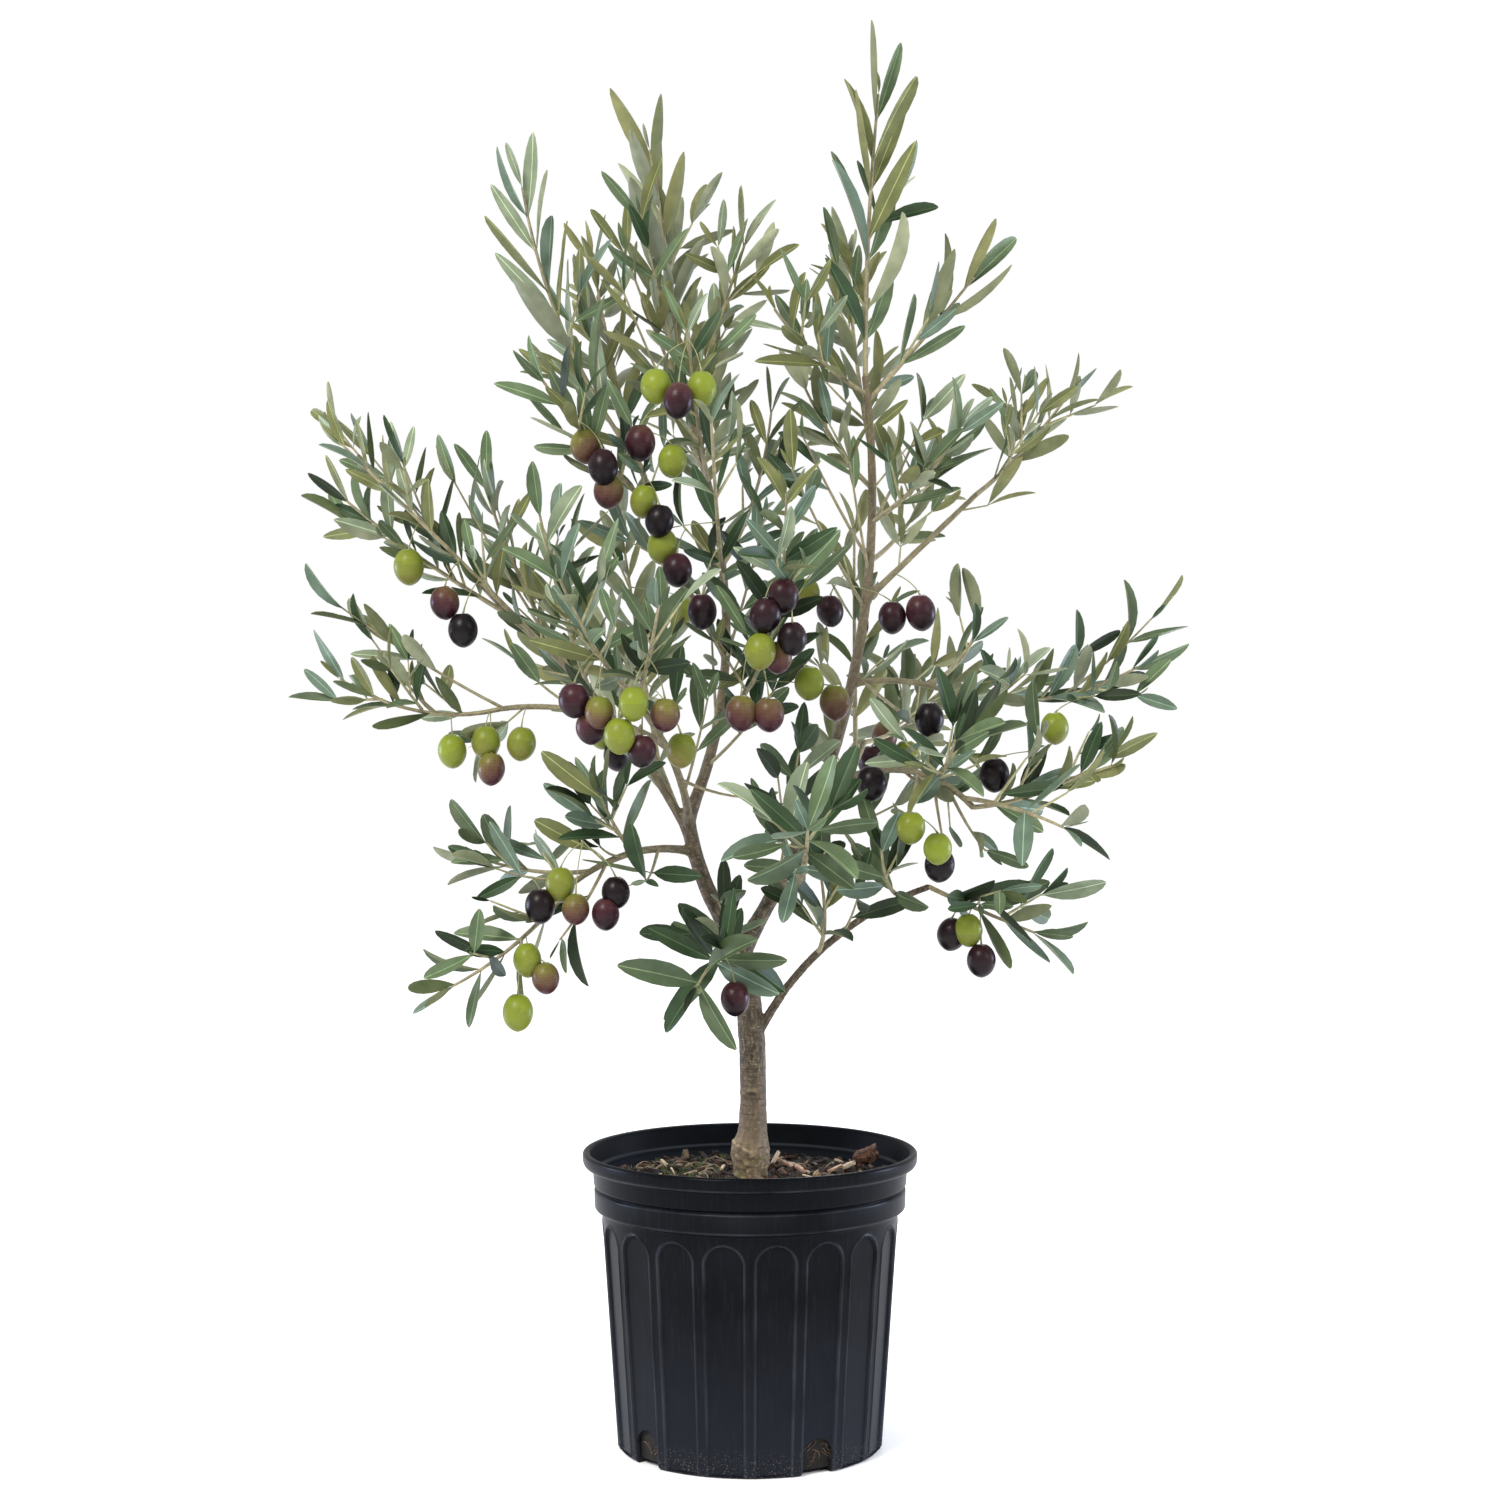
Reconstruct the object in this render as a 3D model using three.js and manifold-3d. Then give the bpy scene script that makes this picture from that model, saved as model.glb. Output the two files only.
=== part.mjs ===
// Young olive tree standing in a black nursery pot, as separate solids.
// Millimetres, +Z up, front towards -Y. The origin is the centre of the pot's flat underside.

import * as THREE from 'three';
import { mergeVertices } from 'three/addons/utils/BufferGeometryUtils.js';
import Module from 'manifold-3d';

const wasm = await Module();
wasm.setup();

// Clearance left between neighbouring solids, and the length of edge that joining may leave
const GAP = 0.3;
const SHORTEST_EDGE = 0.02;

// Pot: a moulded shell with a rolled lip, two bands and fluted sides
const POT_HEIGHT = 250;
const RIM_RADIUS = 140;
const LIP_WIDTH = 6;
const LIP_HEIGHT = 10;
const BAND_RADIUS = 131;
const BAND_HEIGHT = 19;
const BAND_FOOT = 202;
const GROOVE_DEPTH = 3;
const GROOVE_HEIGHT = 3.5;
const BODY_TOP_RADIUS = 124;
const BASE_RADIUS = 110.5;
const WALL = 4;
const SEAT_DEPTH = 18;
const TAPER_STEP = 6;
const POT_FACETS = 36;

// Flutes: flat panels with arched tops, sunk between narrow ribs
const FLUTE_COUNT = 18;
const FLUTE_TOP = 192;
const FLUTE_SUNK = 1;
const FLUTE_SHARE = 0.78;
const FLUTE_CUT = 28;
const ARCH_STEPS = 2;

// Drain holes: turned from the front towards +X, in degrees
const DRAIN_TURNS = [-50, 30, 130, -150];
const DRAIN_WIDTH = 20;
const DRAIN_HEIGHT = 24;
const DRAIN_DEPTH = 14;

// Soil: the root ball that fills the pot to just under the seat of the lip
const SOIL_TOP = 226;
const SOIL_FALL = 2.5;

// Trunk: flat cut on the soil, root flare and old graft below, slight lean to the fork
const TRUNK_TOP = [-8, 0, 420];
const TRUNK_BOW = [6, 0, 8];
const TRUNK_SIDES = 10;
const TRUNK_STEPS = 10;
const TRUNK_RADII = [
  [0, 17.5],
  [0.06, 15.6],
  [0.14, 15],
  [0.2, 12.6],
  [0.32, 11],
  [0.5, 11.2],
  [0.62, 11.6],
  [0.8, 10.4],
  [1, 9.6],
];

// Boughs, in order: name, parent, share of the parent's length where it starts, tip,
// how far its middle bows, radius at root and tip
const BOUGH_SIDES = 6;
const BOUGH_STEPS = 6;
const BOUGHS = [
  ['bough_left', 'trunk', 1, [-52, -10, 530], [-7, 0, -2], [7.6, 6.2]],
  ['bough_right', 'trunk', 0.985, [96, 15, 896], [42, 10, -13], [7.4, 3.2]],
  ['bough_centre', 'bough_left', 0.99, [-60, 38, 893], [36, 0, -18], [5.6, 2.8]],
  ['bough_left_top', 'bough_centre', 0.42, [-90, -20, 820], [-3, -6, -10], [3.6, 2.6]],
  ['bough_front_left', 'bough_left', 0.93, [-100, -110, 640], [12, -12, 0], [4, 2.7]],
  ['bough_upper_left', 'bough_left', 0.84, [-202, -40, 700], [10, 8, 8], [4.2, 2.7]],
  ['bough_mid_left', 'bough_front_left', 0.6, [-205, -50, 620], [0, 10, 12], [3, 2.4]],
  ['bough_lower_left', 'bough_left', 0.74, [-145, -60, 478], [0, -4, 13], [4, 2.6]],
  ['bough_back_left', 'bough_left', 0.6, [-88, 116, 590], [4, 12, -12], [4, 2.7]],
  ['bough_lower_right', 'trunk', 0.53, [148, -40, 474], [-14, 0, 16], [4.4, 2.7]],
  ['bough_front_centre', 'bough_right', 0.13, [44, -140, 510], [4, -6, -12], [3.8, 2.6]],
  ['bough_back_right', 'bough_right', 0.24, [100, 130, 586], [0, 12, -16], [4, 2.7]],
  ['bough_front_right', 'bough_right', 0.3, [180, -95, 542], [6, -4, 24], [3.8, 2.6]],
  ['bough_side_right', 'bough_right', 0.49, [168, 10, 632], [0, 0, 6], [3.2, 2.5]],
  ['bough_right_long', 'bough_right', 0.635, [190, 25, 798], [0, 0, 0], [3.2, 2.4]],
].map(([name, from, at, tip, bow, radii]) => ({ name, from, at, tip, bow, radii }));

// Masses of foliage, in order: name, the limb that carries it, share of that limb's length
// where its stem starts, tip and bow of the stem, side shoots and the longest shoot's length
const MASSES = [
  ['leaves_leader_top', 'bough_right', 1, [106, 0, 1132], [-3, 0, 0], 3, 62],
  ['leaves_leader_left', 'bough_right', 0.97, [20, -30, 947], [-4, 0, -4], 2, 58],
  ['leaves_leader_right', 'bough_right', 0.96, [188, 40, 980], [0, 0, -2], 2, 70],
  ['leaves_leader_back', 'bough_right', 0.88, [84, 130, 1000], [0, 14, -14], 2, 60],
  ['leaves_right_mid', 'bough_right', 0.765, [170, -62, 846], [2, -8, -6], 2, 60],
  ['leaves_right_inner', 'bough_right', 0.82, [46, 42, 888], [0, 6, -8], 2, 50],
  ['leaves_right_long', 'bough_right_long', 1, [268, 40, 882], [0, 0, -6], 3, 78],
  ['leaves_right_back', 'bough_right', 0.7, [166, 160, 820], [0, 16, -10], 2, 70],
  ['leaves_side_right_tip', 'bough_side_right', 1, [318, -36, 654], [0, 0, -16], 3, 74],
  ['leaves_side_right_up', 'bough_side_right', 0.75, [192, 30, 690], [6, 0, -6], 2, 50],
  ['leaves_front_right_tip', 'bough_front_right', 1, [288, -110, 584], [0, 0, -8], 2, 74],
  ['leaves_front_right_low', 'bough_front_right', 0.92, [244, -175, 532], [0, -8, 4], 2, 60],
  ['leaves_front_right_up', 'bough_front_right', 0.7, [160, -165, 600], [0, -8, -8], 2, 62],
  ['leaves_lower_right_tip', 'bough_lower_right', 1, [232, -60, 438], [0, 0, -1], 2, 70],
  ['leaves_lower_right_up', 'bough_lower_right', 0.47, [58, -52, 484], [4, -8, -6], 2, 50],
  ['leaves_lower_right_in', 'bough_lower_right', 0.9, [106, -92, 508], [-4, -8, -10], 2, 50],
  ['leaves_front_centre', 'bough_front_centre', 1, [44, -228, 534], [0, 0, -4], 2, 60],
  ['leaves_trunk_front', 'trunk', 0.95, [-42, -122, 402], [0, -6, 12], 2, 50],
  ['leaves_front_upper', 'bough_centre', 0.26, [28, -190, 790], [14, -10, -26], 3, 70],
  ['leaves_front_upper_left', 'bough_centre', 0.52, [-30, -190, 850], [0, -20, -14], 2, 60],
  ['leaves_centre_top', 'bough_centre', 1, [-84, 40, 1086], [3, 0, 0], 3, 70],
  ['leaves_centre_top_right', 'bough_centre', 0.93, [-4, 0, 1004], [-2, -4, -4], 2, 60],
  ['leaves_centre_back', 'bough_centre', 0.78, [-56, 160, 950], [0, 14, -14], 2, 62],
  ['leaves_centre_front', 'bough_centre', 0.8, [-50, -104, 925], [0, -16, -10], 2, 60],
  ['leaves_centre_right', 'bough_centre', 0.62, [18, 20, 868], [6, 0, -8], 2, 52],
  ['leaves_left_top', 'bough_left_top', 1, [-184, -60, 1042], [-14, 0, -6], 3, 52],
  ['leaves_left_top_back', 'bough_left_top', 0.93, [-134, 70, 1000], [-2, 8, -10], 3, 66],
  ['leaves_left_top_front', 'bough_left_top', 0.8, [-166, -108, 885], [0, -10, -6], 2, 62],
  ['leaves_upper_left_tip', 'bough_upper_left', 1, [-334, -20, 792], [0, 0, -4], 3, 66],
  ['leaves_upper_left_high', 'bough_upper_left', 0.82, [-330, -84, 836], [4, -10, -2], 2, 64],
  ['leaves_upper_left_up', 'bough_upper_left', 0.7, [-222, 14, 806], [-4, 8, -6], 2, 56],
  ['leaves_upper_left_mid', 'bough_upper_left', 0.6, [-168, -110, 780], [0, -12, -10], 2, 60],
  ['leaves_front_left', 'bough_front_left', 1, [-146, -205, 725], [0, -6, -8], 2, 66],
  ['leaves_front_left_up', 'bough_front_left', 0.9, [-70, -205, 705], [0, -8, -8], 2, 66],
  ['leaves_mid_left_tip', 'bough_mid_left', 1, [-332, -70, 645], [0, 0, -14], 3, 70],
  ['leaves_lower_left_tip', 'bough_lower_left', 1, [-240, -95, 398], [4, 0, -6], 2, 64],
  ['leaves_lower_left_up', 'bough_lower_left', 0.85, [-226, -30, 498], [0, 0, -6], 2, 58],
  ['leaves_lower_left_in', 'bough_lower_left', 0.5, [-120, -95, 552], [0, -8, -4], 2, 54],
  ['leaves_back_left', 'bough_back_left', 1, [-168, 222, 652], [0, 6, -12], 3, 80],
  ['leaves_back_left_up', 'bough_back_left', 0.85, [-114, 148, 780], [0, 14, -8], 3, 80],
  ['leaves_back_right', 'bough_back_right', 1, [186, 232, 640], [0, 6, -12], 3, 80],
  ['leaves_back_right_up', 'bough_back_right', 0.85, [92, 168, 772], [0, 14, -8], 3, 80],
].map(([name, from, at, tip, bow, shoots, reach]) => (
  { name, from, at, tip, bow, shoots, reach }
));

// Twigs: three-sided, thinning from the limb outwards
const TWIG_SIDES = 3;
const STEM_STEPS = 3;
const SHOOT_STEPS = 1;
const STEM_RADII = [2.3, 1.3];
const SHOOT_RADII = [1.6, 1.1];
const SHOOT_TURN = 137.5;
const SHOOT_OPENING = 48;
const SHOOT_LIFT = 0.35;
const SHOOT_TAPER = 0.45;
const SHOOT_TRIES = 4;
const SHOOT_RETRY = 50;
const FIRST_SHOOT = 0.12;
const LAST_SHOOT = 0.86;

// Leaves: opposite pairs of narrow blades, each pair a quarter turn from the last
const LEAF_LENGTH = 76;
const LEAF_WIDTH = 19;
const LEAF_THICKNESS = 2;
const LEAF_BELLY = 0.45;
const LEAF_STEP = 84;
const LEAF_OPENING = [58, 34];
const LEAF_LIFT = 0.22;
const LEAF_TRIES = 4;
const LEAF_ROOM = 6;
const LEAF_ROOT = 0.3;
const TIP_OPENING = 24;
const TIP_SIZE = 0.85;
const CROWN_CORE = 60;
const FACE_OUT = 0.6;
const FACE_FRONT = 0.6;
const FACE_ALONG = 0.4;
const FACE_STRAY = 1;

// Room kept round a leaf or twig: to the next mass, to a limb and to the pot
const SPACE_MARGIN = 4;
const LIMB_ROOM = 1.2;
const POT_ROOM = 12;

// Olives: six-sided stand-ins that hang on short stalks under the nearest twig
const OLIVE_RADIUS = 12;
const OLIVE_LENGTH = 29;
const STALK_RADIUS = 0.9;
const OLIVES = [
  ['leaves_centre_front', [-74, -135, 877]],
  ['leaves_centre_front', [-38, -135, 875]],
  ['leaves_left_top_front', [-132, -90, 832]],
  ['leaves_left_top_front', [-88, -90, 835]],
  ['leaves_front_left_up', [-72, -110, 772]],
  ['leaves_upper_left_tip', [-276, -70, 736]],
  ['leaves_upper_left_tip', [-231, -85, 685]],
  ['leaves_front_left', [-137, -170, 631]],
  ['leaves_front_left', [-101, -185, 604]],
  ['leaves_front_left_up', [-66, -180, 620]],
  ['leaves_mid_left_tip', [-241, -75, 587]],
  ['leaves_mid_left_tip', [-209, -80, 573]],
  ['leaves_lower_left_tip', [-179, -100, 420]],
  ['leaves_lower_left_tip', [-186, -110, 379]],
  ['leaves_lower_left_in', [-153, -90, 480]],
  ['leaves_trunk_front', [-12, -110, 390]],
  ['leaves_front_upper', [26, -160, 712]],
  ['leaves_front_upper', [8, -165, 669]],
  ['leaves_right_mid', [139, -55, 699]],
  ['leaves_side_right_tip', [248, -60, 605]],
  ['leaves_front_right_up', [128, -120, 528]],
  ['leaves_lower_right_tip', [177, -80, 442]],
  ['leaves_lower_right_tip', [187, -85, 418]],
];

// Colours and finishes
const FINISH = {
  pot: { color: 0x23262a, roughness: 0.5 },
  soil: { color: 0x3a2a20, roughness: 1 },
  bark: { color: 0x8c7c6a, roughness: 0.9 },
  leaf: { color: 0x5a7a60, roughness: 0.65 },
};

const UP = new THREE.Vector3(0, 0, 1);

function vector(values) {
  return new THREE.Vector3(...values);
}

function degrees(angle) {
  return THREE.MathUtils.degToRad(angle);
}

function mix(range, share) {
  return THREE.MathUtils.lerp(range[0], range[1], share);
}

// Repeatable random numbers from 0 to 1
function seededRandom(seed) {
  let state = seed;
  return () => {
    state = (state * 48271) % 2147483647;
    return state / 2147483647;
  };
}

// Closed solid from a geometry whose seams are merged
function solidOf(geometry) {
  const bare = geometry.clone();
  bare.deleteAttribute('normal');
  bare.deleteAttribute('uv');
  const merged = mergeVertices(bare, 1e-4);
  return new wasm.Manifold(new wasm.Mesh({
    numProp: 3,
    vertProperties: new Float32Array(merged.attributes.position.array),
    triVerts: new Uint32Array(merged.index.array),
  }));
}

// Geometry from a flat list of coordinates and a flat list of corner numbers
function facedGeometry(positions, faces) {
  const geometry = new THREE.BufferGeometry();
  geometry.setAttribute('position', new THREE.Float32BufferAttribute(positions, 3));
  geometry.setIndex([...faces]);
  return geometry;
}

// Named mesh from a solid
function meshOf(name, solid, finish) {
  const { vertProperties, triVerts } = solid.getMesh();
  const geometry = facedGeometry(vertProperties, triVerts);
  const material = new THREE.MeshStandardMaterial({ ...FINISH[finish], metalness: 0, flatShading: true });
  const mesh = new THREE.Mesh(geometry, material);
  mesh.name = name;
  return mesh;
}

// Solid turned about +Z from a list of [radius, height] points
function turned(profile, facets) {
  const points = profile.map(([radius, height]) => new THREE.Vector2(radius, height));
  const geometry = new THREE.LatheGeometry(points, facets);
  geometry.rotateX(Math.PI / 2);
  return solidOf(geometry);
}

// Radius of the pot's wall, outside the flutes, at a height below the bands
function bodyRadius(height) {
  return THREE.MathUtils.lerp(BASE_RADIUS, BODY_TOP_RADIUS, height / BAND_FOOT);
}

// Upright arch, its foot at the origin, extruded along +Z of its own frame
function archGeometry(footWidth, springWidth, height, depth) {
  const shape = new THREE.Shape();
  const spring = height - springWidth / 2;
  shape.moveTo(-footWidth / 2, 0);
  shape.lineTo(footWidth / 2, 0);
  shape.lineTo(springWidth / 2, spring);
  shape.absarc(0, spring, springWidth / 2, 0, Math.PI, false);
  return new THREE.ExtrudeGeometry(shape, { depth, bevelEnabled: false, curveSegments: ARCH_STEPS });
}

// Stands an arch on the pot's side: tipped outwards, moved out and turned from the front
function placeArch(geometry, lean, radius, height, turn) {
  geometry.rotateX(Math.PI / 2 + lean);
  geometry.translate(0, -radius, height);
  geometry.rotateZ(degrees(turn));
  return solidOf(geometry);
}

// Cutter that sinks one flat fluted panel, from just below the pot up to its arched top
function fluteCutter(turn) {
  const halfPanel = FLUTE_SHARE * Math.PI / FLUTE_COUNT;
  const below = 6;
  const lean = Math.atan((BODY_TOP_RADIUS - BASE_RADIUS) / BAND_FOOT);
  const footWidth = 2 * bodyRadius(0) * Math.sin(halfPanel);
  const springWidth = 2 * bodyRadius(FLUTE_TOP) * Math.sin(halfPanel);
  const apothem = bodyRadius(-below) * Math.cos(halfPanel) - FLUTE_SUNK;
  const arch = archGeometry(footWidth, springWidth, (FLUTE_TOP + below) / Math.cos(lean), FLUTE_CUT);
  return placeArch(arch, lean, apothem, -below, turn);
}

// Cutter for one drain hole through the wall and the edge of the floor
function drainCutter(turn) {
  const arch = archGeometry(DRAIN_WIDTH, DRAIN_WIDTH, DRAIN_HEIGHT + 1, DRAIN_DEPTH * 2);
  return placeArch(arch, 0, BASE_RADIUS - DRAIN_DEPTH, -1, turn);
}

function potSolid() {
  const lipFoot = POT_HEIGHT - LIP_HEIGHT;
  const grooveTop = lipFoot - BAND_HEIGHT + 1;
  const grooveFoot = grooveTop - GROOVE_HEIGHT;
  const seat = POT_HEIGHT - SEAT_DEPTH;
  const outside = [
    [0, 0],
    [BASE_RADIUS, 0],
    [BODY_TOP_RADIUS, BAND_FOOT - 2],
    [BAND_RADIUS - 1, BAND_FOOT],
    [BAND_RADIUS - 1, grooveFoot],
    [BAND_RADIUS - GROOVE_DEPTH, grooveFoot + 1],
    [BAND_RADIUS, grooveTop],
    [BAND_RADIUS, lipFoot - 1.5],
    [RIM_RADIUS, lipFoot + 0.5],
    [RIM_RADIUS, POT_HEIGHT - 1],
    [RIM_RADIUS - LIP_WIDTH / 2, POT_HEIGHT],
  ];
  const inside = [
    [RIM_RADIUS - LIP_WIDTH, POT_HEIGHT - 1],
    [BAND_RADIUS, seat],
    [BAND_RADIUS - WALL, seat - 1],
    [BAND_RADIUS - WALL, BAND_FOOT],
    [BODY_TOP_RADIUS - WALL, BAND_FOOT - TAPER_STEP],
    [BASE_RADIUS - WALL, WALL],
    [0, WALL],
  ];
  let solid = turned([...outside, ...inside], POT_FACETS);
  for (let i = 0; i < FLUTE_COUNT; i += 1) {
    solid = solid.subtract(fluteCutter((i + 0.5) * 360 / FLUTE_COUNT));
  }
  for (const turn of DRAIN_TURNS) {
    solid = solid.subtract(drainCutter(turn));
  }
  return solid;
}

function soilSolid() {
  const profile = [
    [0, WALL + GAP],
    [BASE_RADIUS - WALL - GAP, WALL + GAP],
    [BODY_TOP_RADIUS - WALL - GAP, BAND_FOOT - TAPER_STEP],
    [BAND_RADIUS - WALL - GAP, BAND_FOOT + 2 * GAP],
    [BAND_RADIUS - WALL - GAP, SOIL_TOP - SOIL_FALL],
    [BAND_RADIUS / 2, SOIL_TOP],
    [0, SOIL_TOP],
  ];
  return turned(profile, POT_FACETS);
}

// Curve from start to tip, bowed at its middle
function bowedCurve(start, tip, bow) {
  const middle = start.clone().lerp(tip, 0.5).addScaledVector(bow, 2);
  return new THREE.QuadraticBezierCurve3(start, middle, tip);
}

// Two directions across a curve, the same way round all along it
function across(tangent, chord) {
  const reference = Math.abs(chord.z) > 0.9 ? new THREE.Vector3(0, 1, 0) : UP;
  const side = new THREE.Vector3().crossVectors(tangent, reference).normalize();
  const top = new THREE.Vector3().crossVectors(side, tangent).normalize();
  return [side, top];
}

// Closed tube along a curve: rings of points, walls between them and a fan at each end
function tubeSolid(curve, radiusAt, sides, steps) {
  const chord = curve.v2.clone().sub(curve.v0).normalize();
  const positions = [];
  for (let ring = 0; ring <= steps; ring += 1) {
    const share = ring / steps;
    const centre = curve.getPoint(share);
    const [side, top] = across(curve.getTangent(share), chord);
    for (let i = 0; i < sides; i += 1) {
      const angle = Math.PI * 2 * i / sides;
      const point = centre.clone();
      point.addScaledVector(side, radiusAt(share) * Math.cos(angle));
      point.addScaledVector(top, radiusAt(share) * Math.sin(angle));
      positions.push(point.x, point.y, point.z);
    }
  }
  const faces = [];
  for (let ring = 0; ring < steps; ring += 1) {
    for (let i = 0; i < sides; i += 1) {
      const a = ring * sides + i;
      const b = ring * sides + (i + 1) % sides;
      faces.push(a, a + sides, b, b, a + sides, b + sides);
    }
  }
  const last = steps * sides;
  for (let i = 1; i < sides - 1; i += 1) {
    faces.push(0, i, i + 1);
    faces.push(last, last + i + 1, last + i);
  }
  return solidOf(facedGeometry(positions, faces));
}

// Trunk radius at a share of its height
function trunkRadius(share) {
  const next = Math.max(1, TRUNK_RADII.findIndex(([height]) => height >= share));
  const [lowShare, lowRadius] = TRUNK_RADII[next - 1];
  const [highShare, highRadius] = TRUNK_RADII[next];
  return THREE.MathUtils.mapLinear(share, lowShare, highShare, lowRadius, highRadius);
}

// A limb keeps its curve and radius, so that what grows from it can find its bark
function makeLimb(name, curve, radiusAt, sides, steps) {
  const grownRadius = (share) => radiusAt(share) + GAP;
  const overrun = curve.getTangent(1).multiplyScalar(GAP);
  const grownCurve = new THREE.QuadraticBezierCurve3(curve.v0, curve.v1, curve.v2.clone().add(overrun));
  return {
    name,
    curve,
    radiusAt,
    solid: tubeSolid(curve, radiusAt, sides, steps),
    grown: tubeSolid(grownCurve, grownRadius, sides, steps),
  };
}

function trunkLimb() {
  const start = new THREE.Vector3(0, 0, SOIL_TOP - GAP);
  const curve = bowedCurve(start, vector(TRUNK_TOP), vector(TRUNK_BOW));
  const limb = makeLimb('trunk', curve, trunkRadius, TRUNK_SIDES, TRUNK_STEPS);
  const ground = turned([[0, 0], [RIM_RADIUS, 0], [RIM_RADIUS, SOIL_TOP + GAP], [0, SOIL_TOP + GAP]], 8);
  limb.solid = limb.solid.subtract(ground);
  return limb;
}

// Point on the axis of a tube built in straight steps along a curve
function axisPoint(curve, steps, share) {
  const step = Math.min(Math.floor(share * steps), steps - 1);
  const from = curve.getPoint(step / steps);
  return from.lerp(curve.getPoint((step + 1) / steps), share * steps - step);
}

// Start of a limb or stem: inside its parent, just behind the tip or on the axis
function startOn(parent, at) {
  const start = parent.curve.getPoint(at);
  if (at === 1) start.addScaledVector(parent.curve.getTangent(1), -1);
  return start;
}

function overlapping(boxA, boxB) {
  return [0, 1, 2].every((axis) => boxA.min[axis] < boxB.max[axis] && boxB.min[axis] < boxA.max[axis]);
}

// Cuts a solid clear of every limb that it could meet
function cutClear(solid, limbs) {
  const box = solid.boundingBox();
  const near = limbs.filter((limb) => overlapping(box, limb.grown.boundingBox()));
  return near.reduce((rest, limb) => rest.subtract(limb.grown), solid);
}

// Keeps the largest piece, which drops loose scraps and fills sealed hollows, without its shortest edges
function wholePiece(solid) {
  const pieces = solid.decompose();
  const largest = pieces.reduce((best, piece) => (piece.volume() > best.volume() ? piece : best));
  return largest.simplify(SHORTEST_EDGE);
}

function growLimbs() {
  const limbs = [trunkLimb()];
  for (const row of BOUGHS) {
    const parent = limbs.find((limb) => limb.name === row.from);
    const curve = bowedCurve(startOn(parent, row.at), vector(row.tip), vector(row.bow));
    const radiusAt = (share) => mix(row.radii, share);
    const limb = makeLimb(row.name, curve, radiusAt, BOUGH_SIDES, BOUGH_STEPS);
    limb.solid = wholePiece(cutClear(limb.solid, limbs));
    limbs.push(limb);
  }
  return limbs;
}

// Points along a curve, for measuring how near something is to it
function samples(curve, count) {
  return Array.from({ length: count + 1 }, (_, i) => curve.getPoint(i / count));
}

function distanceToPath(point, path) {
  let nearest = Infinity;
  const closest = new THREE.Vector3();
  for (let i = 0; i + 1 < path.length; i += 1) {
    new THREE.Line3(path[i], path[i + 1]).closestPointToPoint(point, true, closest);
    nearest = Math.min(nearest, closest.distanceTo(point));
  }
  return nearest;
}

// A mass owns the space that lies nearer to its stem than to any other stem
function inOwnSpace(point, index, paths) {
  const own = distanceToPath(point, paths[index]) + SPACE_MARGIN;
  return paths.every((path, other) => other === index || distanceToPath(point, path) > own);
}

function clearOfLimbs(point, limbs) {
  return limbs.every((limb) => {
    const path = limb.path;
    return distanceToPath(point, path) > limb.radiusAt(0) + LIMB_ROOM;
  });
}

function clearOfPot(point) {
  return point.z > POT_HEIGHT + POT_ROOM;
}

// One blade of six faces: flat above, with a shallow keel below, widest under its middle
function leafPoints(root, direction, face, length) {
  const side = new THREE.Vector3().crossVectors(direction, face).normalize();
  const normal = new THREE.Vector3().crossVectors(side, direction).normalize();
  const width = LEAF_WIDTH * length / LEAF_LENGTH;
  const belly = root.clone().addScaledVector(direction, length * LEAF_BELLY);
  return {
    root,
    left: belly.clone().addScaledVector(side, -width / 2),
    right: belly.clone().addScaledVector(side, width / 2),
    keel: belly.clone().addScaledVector(normal, -LEAF_THICKNESS),
    tip: root.clone().addScaledVector(direction, length),
  };
}

function leafSolid({ root, left, right, keel, tip }) {
  const positions = [root, left, right, keel, tip].flatMap((point) => point.toArray());
  const faces = [[0, 2, 1], [1, 2, 4], [0, 1, 3], [0, 3, 2], [3, 1, 4], [2, 3, 4]];
  return solidOf(facedGeometry(positions, faces.flat()));
}

// Points where a leaf is tested for room, past its sunk root
function leafProbes({ root, left, right, tip }) {
  return [root.clone().lerp(tip, 0.2), left, right, root.clone().lerp(tip, 0.72), tip];
}

// Direction that leaves a curve at an opening angle, turned round it and lifted towards the light
function offshoot(curve, share, turn, opening, lift) {
  const tangent = curve.getTangent(share);
  const chord = curve.v2.clone().sub(curve.v0).normalize();
  const [side, top] = across(tangent, chord);
  const outward = side.multiplyScalar(Math.cos(turn)).addScaledVector(top, Math.sin(turn));
  const direction = tangent.multiplyScalar(Math.cos(opening));
  return direction.addScaledVector(outward, Math.sin(opening)).addScaledVector(UP, lift).normalize();
}

// The way a blade faces: out of the crown, to the front and along its twig, with some stray
function bladeFace(root, tangent, random) {
  const out = new THREE.Vector3(root.x, root.y, 0);
  const stray = new THREE.Vector3(random() - 0.5, random() - 0.5, random() - 0.5);
  out.multiplyScalar(FACE_OUT / Math.max(out.length(), CROWN_CORE));
  out.y -= FACE_FRONT;
  return out.addScaledVector(tangent, FACE_ALONG).addScaledVector(stray, FACE_STRAY);
}

// Whether the outer part of a leaf keeps off the other leaves of its mass
function clearOfLeaves(points, leaves) {
  const closest = new THREE.Vector3();
  return leaves.every((leaf) => {
    const midrib = new THREE.Line3(leaf.root.clone().lerp(leaf.tip, 0.2), leaf.tip);
    return leafProbes(points).every((point) => {
      midrib.closestPointToPoint(point, true, closest);
      return closest.distanceTo(point) > LEAF_ROOM;
    });
  });
}

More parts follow.
